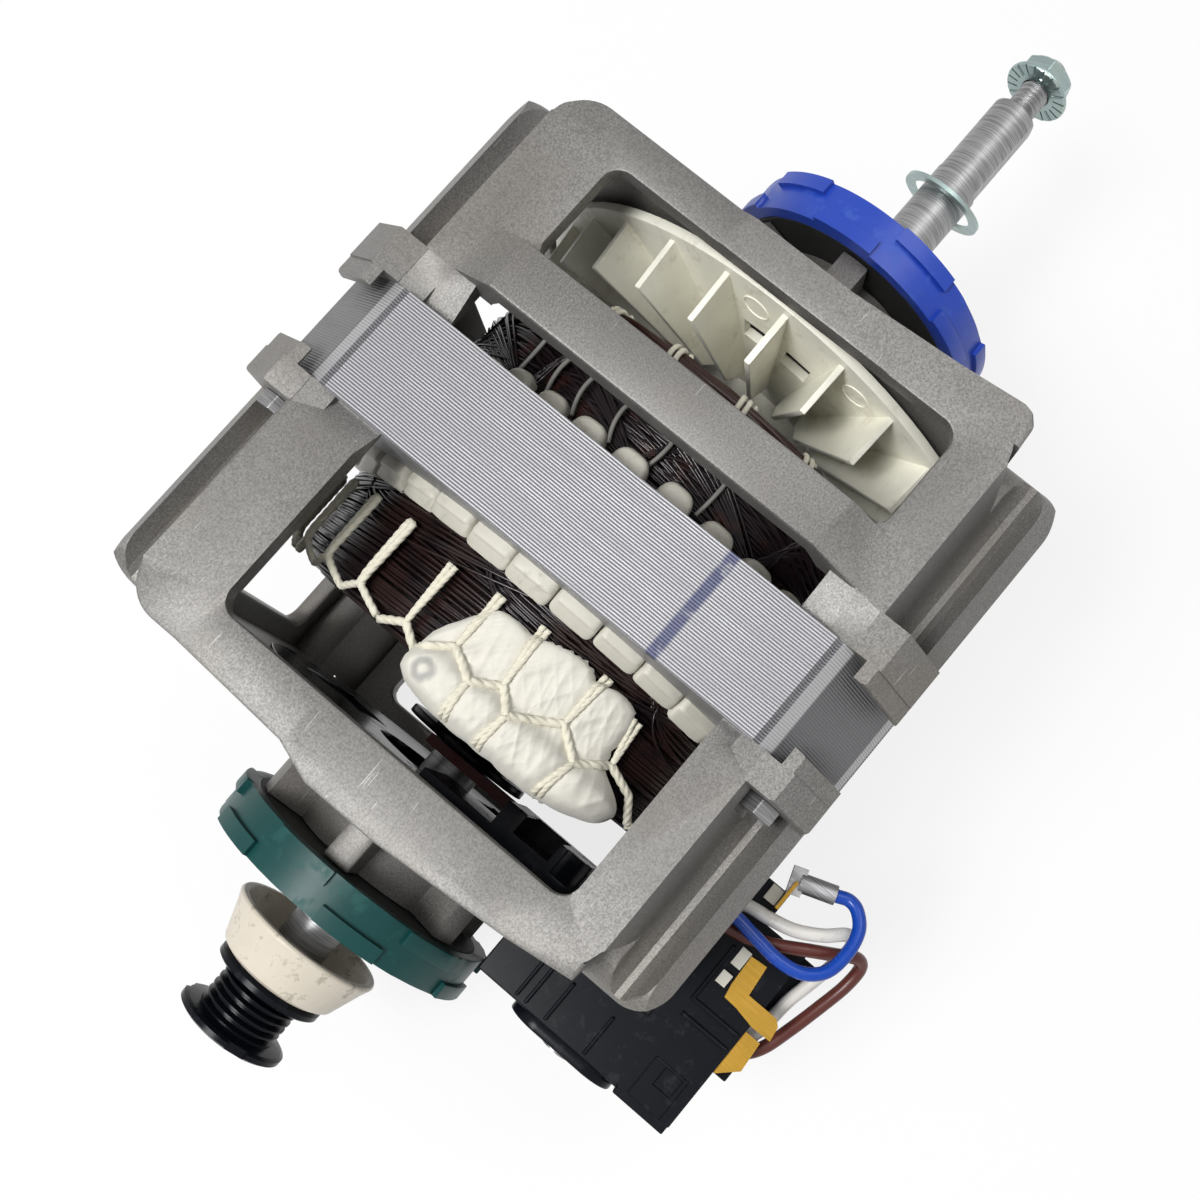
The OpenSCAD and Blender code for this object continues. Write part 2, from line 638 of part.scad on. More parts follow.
// Bearings with their oil felts and pressed caps
bush_start = cavity_end + cap_depth + 0.5;
module bush(boss_end) {
    start = boss_end - bush_len - 1;
    ring_x(start, bush_len, bush_r - press, shaft_r + running);
}
module blower_bearing() {
    color([0.70, 0.55, 0.35]) bush(boss_end_b);
}
module pulley_bearing() {
    color([0.70, 0.55, 0.35]) mirror([1, 0, 0]) bush(boss_end_p);
}
felt_len = 6.5;
module oil_felts() {
    color([0.75, 0.70, 0.60]) for (m = [0, 1]) {
        mirror([m, 0, 0]) ring_x(cavity_end + cap_depth - felt_len, felt_len, cap_seat_r - 0.1, shaft_r + 1);
    }
}
cap_t = 1.2;
module bearing_caps() {
    color(steel) for (m = [0, 1]) {
        mirror([m, 0, 0]) ring_x(cavity_end + cap_depth - felt_len - cap_t, cap_t, cap_seat_r - press, shaft_r + 1.5);
    }
}

// Mounting rings: a plastic band with staggered pads over a rubber ring
pad_sweep = 26;
pad_count = 6;
module mount_ring(at) {
    ring_x(at, ring_w, ring_band_r, ring_in_r);
    for (i = [0 : pad_count - 1]) {
        first = i * 360 / pad_count + 8;
        turned_arc([[ring_band_r - 0.5, at], [ring_r, at], [ring_r, at + ring_w * 0.36],
            [ring_band_r - 0.5, at + ring_w * 0.36]], first, pad_sweep);
        turned_arc([[ring_band_r - 0.5, at + ring_w * 0.64], [ring_r, at + ring_w * 0.64], [ring_r, at + ring_w],
            [ring_band_r - 0.5, at + ring_w]], first + 180 / pad_count, pad_sweep);
    }
}
rubber_holes = 6;
module mount_rubber(at) {
    difference() {
        turned([[boss_r, at], [ring_in_r, at], [ring_in_r, at + ring_w], [boss_r, at + ring_w]]);
        spaced(rubber_holes, 90) translate([0, (boss_r + ring_in_r) / 2, 0])
            rod_x(at - 1, ring_w + 2, (ring_in_r - boss_r) * 0.28, small_fn);
    }
}
module blower_mount_ring() {
    color([0.10, 0.24, 0.72]) mount_ring(ring_at_b);
}
module blower_mount_rubber() {
    color(black) mount_rubber(ring_at_b);
}
module pulley_mount_ring() {
    color([0.06, 0.34, 0.31]) mirror([1, 0, 0]) mount_ring(ring_at_p);
}
module pulley_mount_rubber() {
    color(black) mirror([1, 0, 0]) mount_rubber(ring_at_p);
}

// Switch outside the pulley end bracket, wrapped round its corner, with ribs and recesses on its top
switch_in = half + seat_gap;
switch_out = half + switch_reach;
switch_end = 87.6;
switch_near = 36.7;
wing_end = 86;
wing_y = -36.4;
wing_x = bracket_end + 2.2;
neck_len = 8.7;
neck_y = -80.5;
switch_wall = 1.8;
chamber_from = 61;
step_out = 5;
step_from = 37;
step_to = 71;
step_h = 14;
rib_rise = 1.1;
rib_lines = [-47.5, -50.2, -56, -67.6];
rib_from = 75.5;
screw_hole_r = 2.1;
lead_r = 1.6;
lead_hole_r = lead_r + 0.15;
lead_ins = [[-58.4, 3], [-63, 3.2]];
module switch_housing() {
    color(black) difference() {
        union() {
            translate([-switch_end, -switch_out, switch_low])
                cube([switch_end - switch_near, switch_out - switch_in, switch_h]);
            translate([-switch_near - 0.1, neck_y, switch_low]) cube([neck_len, -neck_y - switch_in, switch_h]);
            translate([-wing_end, neck_y, switch_low]) cube([wing_end - wing_x, wing_y - neck_y, switch_h]);
            translate([-step_to, -switch_out - step_out, switch_low + 4])
                cube([step_to - step_from, step_out + 3, step_h]);
            for (y = rib_lines) {
                translate([-wing_end + 1, y, switch_top - 1]) cube([wing_end - rib_from, 0.9, 1 + rib_rise]);
            }
            for (x = [-64.4, -60.4]) {
                translate([x, -switch_out + 0.6, switch_top - 1]) cube([1, 13.2, 1 + rib_rise]);
            }
            translate([-60.4, -78.6, switch_top - 1]) cube([15.6, 1, 1 + rib_rise]);
            translate([-switch_end + 2.4, -switch_out + 2.6, switch_top - 1]) cube([10.6, 9.4, 1.35]);
        }
        translate([-switch_end + 3, -switch_out + switch_wall, switch_low + switch_wall])
            cube([switch_end - 3 - chamber_from, switch_out - switch_in - 2 * switch_wall, switch_h - 7]);
        translate([-switch_end - 1, -switch_out - 1, switch_top - 2.2]) cube([3.4, 15.6, 4]);
        translate([-switch_end - 1, -77.5, switch_low - 1]) cube([switch_end - wing_end + 1, 40, switch_h + 2]);
        translate([-switch_end + 7.6, -switch_out + 4, switch_top - 0.2]) cube([4.6, 4.6, 2]);
        translate([0, switch_screw_y, switch_screw_z]) rod_x(-switch_end - 1, 30, screw_hole_r, small_fn);
        translate([-chamber_from - 10, plunger_y, plunger_z]) rod_x(0, 21, plunger_r + 0.1, small_fn);
        translate([-58.5, -switch_in - 6, lever_low - 0.6]) cube([8, 7, lever_h + 1.2]);
        for (p = lead_ins) {
            translate([p.x, 0, p.y]) rotate([90, 0, 0]) translate([0, 0, switch_out - 2])
                cylinder(r = lead_hole_r, h = 4, $fn = small_fn);
        }
        blade_slot();
        taper_slot();
    }
}
// Round-cornered cover on the end of the switch, under its screw
cover_t = 3;
cover_from = -76.8;
cover_w = 29.4;
module switch_cover() {
    color(black) difference() {
        along_x(-wing_end - cover_t - 0.02, cover_t)
            translate([cover_from, switch_low + 1]) round_rect(cover_w, switch_h - 2.6, 8);
        translate([0, switch_screw_y, switch_screw_z]) rod_x(-wing_end - 5, 10, screw_hole_r, small_fn);
    }
}
module switch_screws() {
    color(steel) {
        translate([0, switch_screw_y, switch_screw_z]) {
            rod_x(-wing_end - cover_t - 2.2, 2.15, 4, small_fn);
            rod_x(-wing_end - cover_t - 0.5, wing_end + cover_t + 0.5 - cavity_end - 1, 1.55, small_fn);
        }
    }
}

// Black plate inside the pulley end bracket that carries the switch lever on two knuckles
plate_t = 2.2;
plate_at = cavity_end - plate_t;
knuckle_t = 3;
tower_from = 51;
module switch_plate() {
    color(black) mirror([1, 0, 0]) difference() {
        union() {
            ring_x(plate_at, plate_t, window_half + 7.8, boss_r - 1);
            translate([plate_at, -60, lever_low - 6]) cube([plate_t, 40, 30]);
            for (z = [lever_low - knuckle_t - 0.4, lever_low + lever_h + 0.4]) {
                translate([lever_x - 3.4, lever_pivot_y - 3.4, z]) cube([plate_at - lever_x + 3.5, 6.8, knuckle_t]);
            }
            translate([tower_from, -44, 20]) cube([plate_at - tower_from + 0.1, 22, 17]);
            translate([tower_from + 6, -44, 20]) cube([plate_at - tower_from - 5.9, 40, 24]);
            translate([tower_from, -38, 30]) cube([plate_at - tower_from + 0.1, 16, 14]);
            translate([tower_from, -38, 37]) rod_x(0, plate_at - tower_from + 0.1, 6, small_fn);
        }
        translate([tower_from - 1, -36, 25]) cube([5.5, 9, 30]);
        translate([lever_x, lever_pivot_y, 0]) cylinder(r = pin_r + 0.02, h = 60, center = true, $fn = small_fn);
        for (a = [150, 220, 330]) {
            turned_arc([[26, plate_at - 1], [42, plate_at - 1], [42, plate_at + 4], [26, plate_at + 4]], a, 40);
        }
    }
}

// Lever that follows the governor collar and works the switch plunger
lever_x = 53.6;
lever_pivot_y = -50;
lever_t = 2.4;
lever_low = 2;
lever_h = 6;
lever_tip_y = 6;
lever_out_y = -76.5;
lever_arm_z = 8;
pin_r = 1.48;
module switch_lever() {
    color([0.36, 0.07, 0.08]) difference() {
        union() {
            along_x(-lever_x - lever_t / 2, lever_t) polygon([[lever_out_y, lever_low],
                [lever_out_y, lever_low + lever_h], [-42, lever_low + lever_h], [-26, lever_arm_z + 8],
                [lever_tip_y, lever_arm_z + 8], [lever_tip_y, lever_arm_z], [-22, lever_arm_z],
                [-38, lever_low]]);
            translate([-lever_x, lever_pivot_y, lever_low]) cylinder(r = 3.4, h = lever_h, $fn = small_fn);
        }
        translate([-lever_x, lever_pivot_y, 0]) cylinder(r = pin_r + 0.06, h = 40, center = true, $fn = small_fn);
    }
}
module lever_pin() {
    color(steel) translate([-lever_x, lever_pivot_y, lever_low - knuckle_t - 0.4]) {
        cylinder(r = pin_r, h = lever_h + 2 * knuckle_t + 0.8, $fn = small_fn);
    }
}
plunger_r = 2.2;
plunger_len = 11;
plunger_z = lever_low + lever_h / 2;
plunger_y = -switch_in - 3;
module switch_plunger() {
    color([0.85, 0.83, 0.76]) translate([-lever_x - lever_t / 2 - seat_gap - plunger_len, plunger_y, plunger_z])
        rod_x(0, plunger_len, plunger_r, small_fn);
}
module switch_contacts() {
    color([0.80, 0.60, 0.25]) for (z = [switch_low + 6, switch_low + 12]) {
        translate([-switch_end + 3, -switch_out + 5, z]) cube([19, 6, 0.6]);
        translate([-switch_end + 18, -switch_out + 8, z + 0.6]) cylinder(r = 2, h = 1, $fn = small_fn);
    }
}

// Stamped brass terminals on the top of the switch: a bent strip, a tapered one and an upright blade
brass_t = 0.9;
brass_z = switch_top + 0.05;
strip_at = [-56.5, -92, brass_z];
strip_form = [[12.2, 9.6], [12.6, 5.4], [5.2, 4.6], [5.2, -3.4], [4, -4.8], [0.4, -5.4], [0.2, -0.4], [1.2, 5],
    [1.4, 8.6], [4.6, 9.2], [8, 9.4]];
taper_at = [-69.4, -92.6, 10];
taper_in = 3;
taper_form = [[0, 0], [4, -4.2], [11.4, -3.6], [11.4, taper_in], [0, taper_in]];
blade_at = [-32.6, -80, 7];
blade_size = [7.6, 0.8, 11];
module brass_terminals() {
    color([0.80, 0.60, 0.20]) {
        translate(strip_at) linear_extrude(brass_t) polygon(strip_form);
        translate(taper_at) linear_extrude(brass_t) polygon(taper_form);
        translate(blade_at) cube(blade_size);
    }
}
// Slots that the blade and the tapered strip stand in, with a hair of room round them
slot_room = 0.05;
module blade_slot() {
    translate([for (v = blade_at) v - slot_room]) cube([for (v = blade_size) v + 2 * slot_room]);
}
module taper_slot() {
    translate([taper_at.x - slot_room, taper_at.y - 2, taper_at.z - slot_room])
        cube([taper_form[2].x + 2 * slot_room, taper_in + 2 + slot_room, brass_t + 2 * slot_room]);
}
// Pale insulating pads beside the terminals
module terminal_pads() {
    color([0.85, 0.84, 0.80]) {
        translate([-48.4, -82.2, switch_top + 0.05]) cube([4.6, 2.6, 1.5]);
        translate([-53.6, -82, switch_top + 0.05]) cube([3.2, 2.6, 1.5]);
        translate([-32.4, -79, switch_top + 0.05]) cube([4, 3, 1.6]);
    }
}

// Leads from the winding round to the switch, and the crimped connector on the blade
blue_route = [[-43.4, -53, 18], [-45.8, -56.5, 18], [-45.2, -62, 17.8], [-41.6, -69, 17.5], [-39.8, -73, 17.5],
    [-40.4, -80, 17.5], [-41, -87, 17.5], [-39.8, -93, 17.5], [-36, -97, 17.3], [-30, -98, 17],
    [-24.6, -97, 16.4], [-21.4, -94.2, 15.6], [-20.6, -91.4, 15], [-21.6, -88.6, 15], [-22.6, -85.8, 15]];
white_route = [[-43.4, -54, 8.5], [-46, -57.5, 8.6], [-44.5, -63, 9.2], [-39.8, -69, 11.6], [-36.4, -74, 14.4],
    [-35.2, -80, 15.2], [-33.6, -86, 16], [-30.4, -91.6, 15.6], [-27, -95.6, 12.8], [-26.4, -98.2, 8.6],
    [-29.4, -99.4, 5], [-34.6, -98.8, 3], [-40.6, -97.6, 2.2], [-47, -96.2, 2.2], [-53, -95.6, 2.4],
    [-57.2, -95, 2.8], [-58.4, -92.6, 3], [-58.4, -90.8, 3]];
brown_route = [[-43.4, -53.6, 13.5], [-46.4, -57, 13.5], [-46.5, -62, 13.4], [-45, -69, 13.6], [-43, -73.5, 13.9],
    [-41.6, -79, 14], [-38.8, -85, 14.3], [-35, -91.4, 13.9], [-31.8, -97, 11.8], [-29.4, -101.2, 9],
    [-30.4, -103.8, 5.8], [-36, -104, 3.8], [-44, -102.4, 3], [-52, -100.4, 3], [-58.4, -98.4, 3.2],
    [-62.2, -95.8, 3.2], [-63, -92.6, 3.2], [-63, -90.8, 3.2]];
module blue_lead() {
    color([0.08, 0.22, 0.62]) tube(smooth(blue_route, 4), lead_r, 8, [0, 0, 1]);
}
module white_lead() {
    color([0.82, 0.80, 0.76]) tube(smooth(white_route, 4), lead_r, 8, [0, 0, 1]);
}
module brown_lead() {
    color([0.32, 0.15, 0.12]) tube(smooth(brown_route, 4), lead_r, 8, [0, 0, 1]);
}
crimp_at = [-24.6, -80.2, 15];
crimp_turn = -70.3;
crimp_r = 2.3;
crimp_len = 8.6;
clasp_size = [3.4, 6.6, 2.6];
module lead_connector() {
    color(steel) difference() {
        translate(crimp_at) rotate([0, 0, crimp_turn]) difference() {
            union() {
                rod_x(0, crimp_len, crimp_r, small_fn);
                translate([1 - clasp_size.x, -clasp_size.y / 2, -clasp_size.z / 2]) cube(clasp_size);
            }
            rod_x(1, crimp_len, lead_r + 0.05, small_fn);
        }
        blade_slot();
    }
}

// Shaft with a blower seat, a threaded end, a flat along the seat and grooves for the retaining rings
clip_t = 1;
clip_depth = 0.6;
fan_clip_at = fan_at + fan_t + 0.6;
clips_at = [fan_clip_at, boss_end_b + 1.2, -boss_end_p - 2.2];
thread_pitch = 1.25;
thread_depth = 0.65;
thread_turns = floor((thread_len - 1.6) / thread_pitch);
seat_at = shoulder_at - seat_len;
function thread_points() = [for (i = [0 : thread_turns - 1], k = [0, 1])
    [thread_r - k * thread_depth, shoulder_at + 0.8 + (i + k / 2) * thread_pitch]];
module shaft() {
    color([0.74, 0.74, 0.74]) difference() {
        union() {
            turned([[0, -tail_at], [shaft_r - 1, -tail_at], [shaft_r, 1 - tail_at], [shaft_r, seat_at],
                [seat_r, seat_at], [seat_r, shoulder_at - 0.6], [seat_r - 0.6, shoulder_at], [0, shoulder_at]]);
            turned(concat([[0, shoulder_at - 1], [thread_r - thread_depth, shoulder_at - 1]], thread_points(),
                [[thread_r, shoulder_at + thread_len - 0.8], [thread_r - 0.8, shoulder_at + thread_len],
                [0, shoulder_at + thread_len]]), 48);
        }
        translate([seat_at - flat_over, flat_depth - seat_r - 5, -10]) cube([flat_over + seat_len + 1, 5, 20]);
        for (x = clips_at) {
            ring_x(x - 0.05, clip_t + 0.1, shaft_r + 1, shaft_r - clip_depth);
        }
    }
}
module rotor_core() {
    color(steel) ring_x(-face - 0.5, stack_len + 1, bore_r - air_gap, shaft_r + press);
}
cage_len = 6;
cage_fins = 12;
module rotor_cage() {
    color([0.78, 0.78, 0.78]) for (m = [0, 1]) {
        mirror([m, 0, 0]) {
            ring_x(face + 0.5, cage_len, bore_r - 2.5, bore_r - 11);
            spaced(cage_fins, 15) along_x(face + cage_len, 5) translate([bore_r - 9.5, -1])
                square([5.5, 2]);
        }
    }
}

// Moulded cooling fan: disc, straight blades, hub web, pairs of square holes and round moulding marks
fan_hub_r = 12;
fan_hub_len = 17;
fan_hole = 6.8;
fan_hole_r = 44.4;
fan_rim = 2.6;
fan_turn = 3.4;
hole_gaps = [-1, 0, 6, 7, 12, 13, 19, 20];
mark_gaps = [-1, 1, 5, 8, 11, 14, 18, 21];
mark_r = 3.4;
mark_at = 57;
module cooling_fan() {
    blade_pitch = 360 / blades;
    blade_r = fan_r - fan_rim;
    color(ivory) difference() {
        union() {
            ring_x(fan_at, fan_t, fan_r, fan_hub_r - 1);
            turned([[shaft_r + 0.05, fan_at + fan_t - fan_hub_len], [fan_hub_r - 1.5, fan_at + fan_t - fan_hub_len],
                [fan_hub_r, fan_at - 4], [fan_hub_r + 4, fan_at + 0.5], [fan_hub_r + 4, fan_at + fan_t],
                [shaft_r + 0.05, fan_at + fan_t]]);
            spaced(blades, fan_turn) rotate([90, 0, 0]) translate([0, 0, -blade_t / 2])
                linear_extrude(blade_t) polygon([[fan_at + 0.5, blade_r],
                    [fan_at - blade_depth, blade_r - 1.3], [fan_at - blade_depth + 5, 30], [fan_at - 3, 25],
                    [fan_at + 0.5, 24.6]]);
            for (g = mark_gaps) {
                rotate([fan_turn + (g + 0.5) * blade_pitch, 0, 0]) translate([0, 0, mark_at]) difference() {
                    rod_x(fan_at - 0.25, 1, mark_r, small_fn);
                    rod_x(fan_at - 1, 3, mark_r - 0.35, small_fn);
                }
            }
        }
        for (g = hole_gaps) {
            rotate([fan_turn + (g + 0.5) * blade_pitch, 0, 0])
                translate([fan_at - 1, -fan_hole / 2, fan_hole_r - fan_hole / 2])
                    cube([fan_t + 2, fan_hole, fan_hole]);
        }
    }
}

// Belt pulley with V ribs between two flanges
rib_start = -122.6;
rib_len = rib_count * rib_pitch + 0.6;
function rib_points(n) = [for (i = [0 : n - 1], k = [0 : 3])
    [k == 0 || k == 3 ? rib_r : rib_r - (k == 0 ? 0 : groove_depth),
        rib_start - 0.3 - (i + [0.12, 0.42, 0.58, 0.88][k]) * rib_pitch]];
flange_t = 2.2;
module belt_pulley() {
    hub = -119.9;
    low = rib_start - rib_len;
    color(black) difference() {
        turned(concat([[shaft_r + 0.05, hub], [flange_r - 1.2, hub], [flange_r, hub - 1], [flange_r, rib_start + 0.4],
            [flange_r - 0.6, rib_start], [rib_r, rib_start]], rib_points(rib_count),
            [[rib_r, low], [flange_r - 1, low - 0.5], [flange_r, low - 1], [flange_r, low - flange_t],
            [flange_r - 1, low - flange_t - 0.6], [shaft_r + 0.05, low - flange_t - 0.6]]));
        for (a = [30, 150, 270]) {
            rotate([a, 0, 0]) translate([low - flange_t - 2, -2.6, flange_r - 1.2]) cube([flange_t + 1.4, 5.2, 4]);
        }
    }
}

// Cream collar like a cup, open towards the motor
cup_t = 1.9;
cup_floor = -119.8;
module pulley_collar() {
    color([0.87, 0.83, 0.75]) turned([[shaft_r + 0.05, cup_floor], [flange_r - 0.5, cup_floor],
        [flange_r + 1.4, cup_floor + 1], [cup_r - 1.2, cup_floor + cup_len * 0.72], [cup_r, cup_floor + cup_len - 0.8],
        [cup_r - 0.4, cup_floor + cup_len], [cup_r - cup_t, cup_floor + cup_len],
        [cup_r - 1.2 - cup_t, cup_floor + cup_len * 0.72], [flange_r + 1.2 - cup_t, cup_floor + 3.4],
        [shaft_r + 2.4, cup_floor + 2.4], [shaft_r + 2.2, cup_floor + 7], [shaft_r + 0.05, cup_floor + 7]]);
}

// Retaining rings and thrust washers on the shaft
module clip(x) {
    ring_x(x, clip_t, shaft_r + 2.6, shaft_r - clip_depth + press);
}
module retaining_rings() {
    color(steel) {
        for (x = clips_at) {
            clip(x);
        }
    }
}
module thrust_washers() {
    color([0.20, 0.18, 0.16]) {
        ring_x(-boss_end_p - 1.1, 0.8, shaft_r + 3.4, shaft_r + press);
        ring_x(boss_end_b + 0.3, 0.8, shaft_r + 3.4, shaft_r + press);
    }
}

// Governor: pressed plate, two weights, a spring and the sliding collar
gov_at = -26;
gov_t = 2;
gov_r = 33;
collar_len = 8;
collar_at = -lever_x + lever_t / 2 + seat_gap;
collar_flange = 1.9;
collar_back = collar_at + collar_len;
spring_pocket_r = shaft_r + 3.2;
spring_pocket = 5.5;
weight_pivot_x = -37;
weight_pivot_z = 25;
ear_y = 9;
module governor_plate() {
    color(steel) difference() {
        union() {
            ring_x(gov_at - gov_t, gov_t, gov_r, shaft_r + press);
            ring_x(gov_at, 5, 11, shaft_r + press);
            for (m = [0, 1], s = [-1, 1]) {
                mirror([0, 0, m]) translate([weight_pivot_x - 3, s * ear_y - 0.9, weight_pivot_z - 3])
                    cube([gov_at - gov_t - weight_pivot_x + 3.1, 1.8, 6]);
            }
        }
        for (s = [-1, 1]) {
            translate([weight_pivot_x, 0, s * weight_pivot_z]) rotate([90, 0, 0])
                cylinder(r = 1.5, h = 40, center = true, $fn = small_fn);
        }
    }
}
module governor_weight() {
    finger_x = collar_back - collar_flange - seat_gap;
    color([0.55, 0.55, 0.55]) {
        translate([weight_pivot_x, 0, weight_pivot_z]) rotate([90, 0, 0]) cylinder(r = 1.44, h = 2 * ear_y + 3,
            center = true, $fn = small_fn);
        translate([0, 7.5, 0]) rotate([90, 0, 0]) linear_extrude(15) polygon([
            [weight_pivot_x + 7.5, weight_pivot_z + 5], [weight_pivot_x - 2, weight_pivot_z + 5],
            [weight_pivot_x - 4, weight_pivot_z + 1], [finger_x - 1.4, 16.5], [finger_x - 1.4, 13.4],
            [finger_x, 13.4], [finger_x, 17.2], [weight_pivot_x - 2, weight_pivot_z - 3],
            [weight_pivot_x + 7.5, weight_pivot_z - 3]]);
    }
}
module governor_weight_top() {
    governor_weight();
}
module governor_weight_bottom() {
    mirror([0, 0, 1]) governor_weight();
}
module governor_collar() {
    color(black) turned([[shaft_r + 0.08, collar_at], [17, collar_at], [17, collar_at + 2], [10.4, collar_at + 2.6],
        [10.4, collar_back - collar_flange], [15.5, collar_back - collar_flange], [15.5, collar_back],
        [spring_pocket_r, collar_back], [spring_pocket_r, collar_back - spring_pocket],
        [shaft_r + 0.08, collar_back - spring_pocket]]);
}
spring_turns = 5;
spring_wire = 1.2;
spring_mid_r = shaft_r + 1.4;
spring_from = collar_back - spring_pocket + collar_travel + spring_wire / 2 + seat_gap;
spring_to = gov_at - gov_t - spring_wire / 2;
module governor_spring() {
    path = [for (i = [0 : spring_turns * 14]) let (a = i * 360 / 14)
        [spring_from + (spring_to - spring_from) * i / (spring_turns * 14), spring_mid_r * cos(a),
        spring_mid_r * sin(a)]];
    color([0.62, 0.62, 0.60]) tube(path, spring_wire / 2, 6, [1, 0, 0]);
}

// Loose washer and flange nut at the blower end
washer_r = 11.5;
washer_in_r = 8.9;
washer_t = 1;
washer_at = 134;
washer_lean = 11.5;
module loose_washer() {
    drop = washer_in_r * cos(washer_lean) - washer_t * sin(washer_lean) - shaft_r - seat_gap;
    color([0.70, 0.76, 0.68]) translate([washer_at, 0, -drop]) rotate([0, -washer_lean, 0])
        ring_x(-washer_t / 2, washer_t, washer_r, washer_in_r);
}
nut_on = 8.5;
nut_at = shoulder_at + nut_on;
nut_len = 6.6;
nut_flange_r = 8.95;
nut_w = 13;
serrations = 20;
module flange_nut() {
    top = nut_at + nut_len;
    color([0.70, 0.78, 0.72]) difference() {
        union() {
            turned([[0, nut_at], [nut_flange_r - 0.3, nut_at], [nut_flange_r, nut_at + 0.5],
                [nut_flange_r, nut_at + 1.2], [nut_w / 2 + 0.2, nut_at + 2.6], [0, nut_at + 2.6]], 64);
            intersection() {
                along_x(nut_at + 1, nut_len - 1) hexagon(nut_w);
                turned([[0, nut_at], [nut_flange_r, nut_at], [nut_w / 2 + 1.2, top - 1.3], [nut_w / 2 - 0.5, top],
                    [0, top]], 64);
            }
        }
        rod_x(nut_at - 1, nut_len + 2, thread_r + 0.06, 48);
        spaced(serrations) translate([nut_at - 0.5, -0.25, nut_w / 2 - 0.9]) cube([0.85, 0.5, 4]);
    }
}

stator_core();
slot_insulators();
slot_windings();
winding_core_blower();
winding_core_pulley();
winding_turns_blower();
winding_turns_pulley();
lacing_cord();
thermal_protector();
lead_bundle();
blower_end_bracket();
pulley_end_bracket();
through_bolts();
blower_bearing();
pulley_bearing();
oil_felts();
bearing_caps();
blower_mount_ring();
blower_mount_rubber();
pulley_mount_ring();
pulley_mount_rubber();
switch_housing();
switch_cover();
switch_plate();
switch_screws();
switch_contacts();
brass_terminals();
terminal_pads();
lead_connector();
blue_lead();
white_lead();
brown_lead();
switch_lever();
lever_pin();
switch_plunger();
shaft();
rotor_core();
rotor_cage();
cooling_fan();
belt_pulley();
pulley_collar();
retaining_rings();
thrust_washers();
governor_plate();
governor_spring();
governor_collar();
governor_weight_top();
governor_weight_bottom();
loose_washer();
flange_nut();
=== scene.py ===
"""Looks of a dryer's drive motor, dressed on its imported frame.

Every length is in metres. +X runs along the shaft to the blower end, +Z is up.
"""

import json
import logging
import math
from dataclasses import dataclass
from enum import Enum
from typing import Any, Callable, Sequence, Union

import bmesh
import bpy
import numpy as np
from mathutils import Matrix, Vector
from mathutils.bvhtree import BVHTree
from mathutils.kdtree import KDTree


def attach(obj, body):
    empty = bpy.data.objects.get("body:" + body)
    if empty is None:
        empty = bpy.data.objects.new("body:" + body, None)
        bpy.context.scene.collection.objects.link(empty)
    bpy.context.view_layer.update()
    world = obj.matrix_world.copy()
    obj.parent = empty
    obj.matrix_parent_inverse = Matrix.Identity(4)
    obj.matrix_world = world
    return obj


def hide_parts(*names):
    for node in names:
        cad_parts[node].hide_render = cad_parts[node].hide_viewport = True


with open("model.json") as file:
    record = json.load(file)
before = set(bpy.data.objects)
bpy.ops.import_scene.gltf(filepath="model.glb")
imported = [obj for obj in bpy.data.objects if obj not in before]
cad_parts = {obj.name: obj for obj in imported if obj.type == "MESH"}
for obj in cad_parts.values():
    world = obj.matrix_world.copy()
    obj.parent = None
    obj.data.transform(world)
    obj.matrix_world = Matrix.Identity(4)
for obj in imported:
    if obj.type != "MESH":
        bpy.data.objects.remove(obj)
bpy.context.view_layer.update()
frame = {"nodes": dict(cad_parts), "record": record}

log = logging.getLogger("motor")

MM = 0.001
ROOT = "frame"
NODES = frame["nodes"]

# Cords: their plies and the sides of each, their twist in radians over a run of one radius,
# and the distance between the rings of points along them.
PLIES = 3
SIDES_OF_A_PLY = 6
TWIST = 0.9
CORD_STEP = 0.0006

# Rounding of edges: the angles in degrees between two faces past which their edge is sharp and
# their surface curved, how far a rounded corner may lie inside and outside the surface as a
# share of the width, how well its faces must agree with the surface, the area below which a
# face is left out of that, and how often it is tried again with fewer edges.
SHARP = 32.0
CURVED = 0.4
MOST_INSIDE = 0.6
MOST_OUTSIDE = 0.1
LEAST_AGREEMENT = 0.3
LEAST_AREA = 1e-9
ROUNDS = 10

Number = Union[int, float]
Colour = tuple[float, float, float]
Point = tuple[float, float, float]
Place = tuple[float, float]
Radius = Union[float, np.ndarray]


def scaled(colour: Colour, *by: float) -> Colour:
    """A colour made darker or lighter: by one factor, or by one for each of its three values."""
    factors = by if len(by) == 3 else by * 3
    return tuple(c * w for c, w in zip(colour, factors))


class End(Enum):
    """The two ends of the motor, by the way that X points there."""

    PULLEY = -1
    BLOWER = 1


def operator(kind: str, swapped: bool = False) -> Callable[["Socket", "Value"], "Socket"]:
    """A method of Socket that adds one Math node.

    Args:
        kind: The node's operation.
        swapped: Whether the socket stands on the right of the other value.

    Returns:
        The method.
    """

    def method(self: "Socket", other: "Value") -> "Socket":
        """Adds the node."""
        pair = (other, self) if swapped else (self, other)
        return self.shade.math(kind, *pair)

    return method


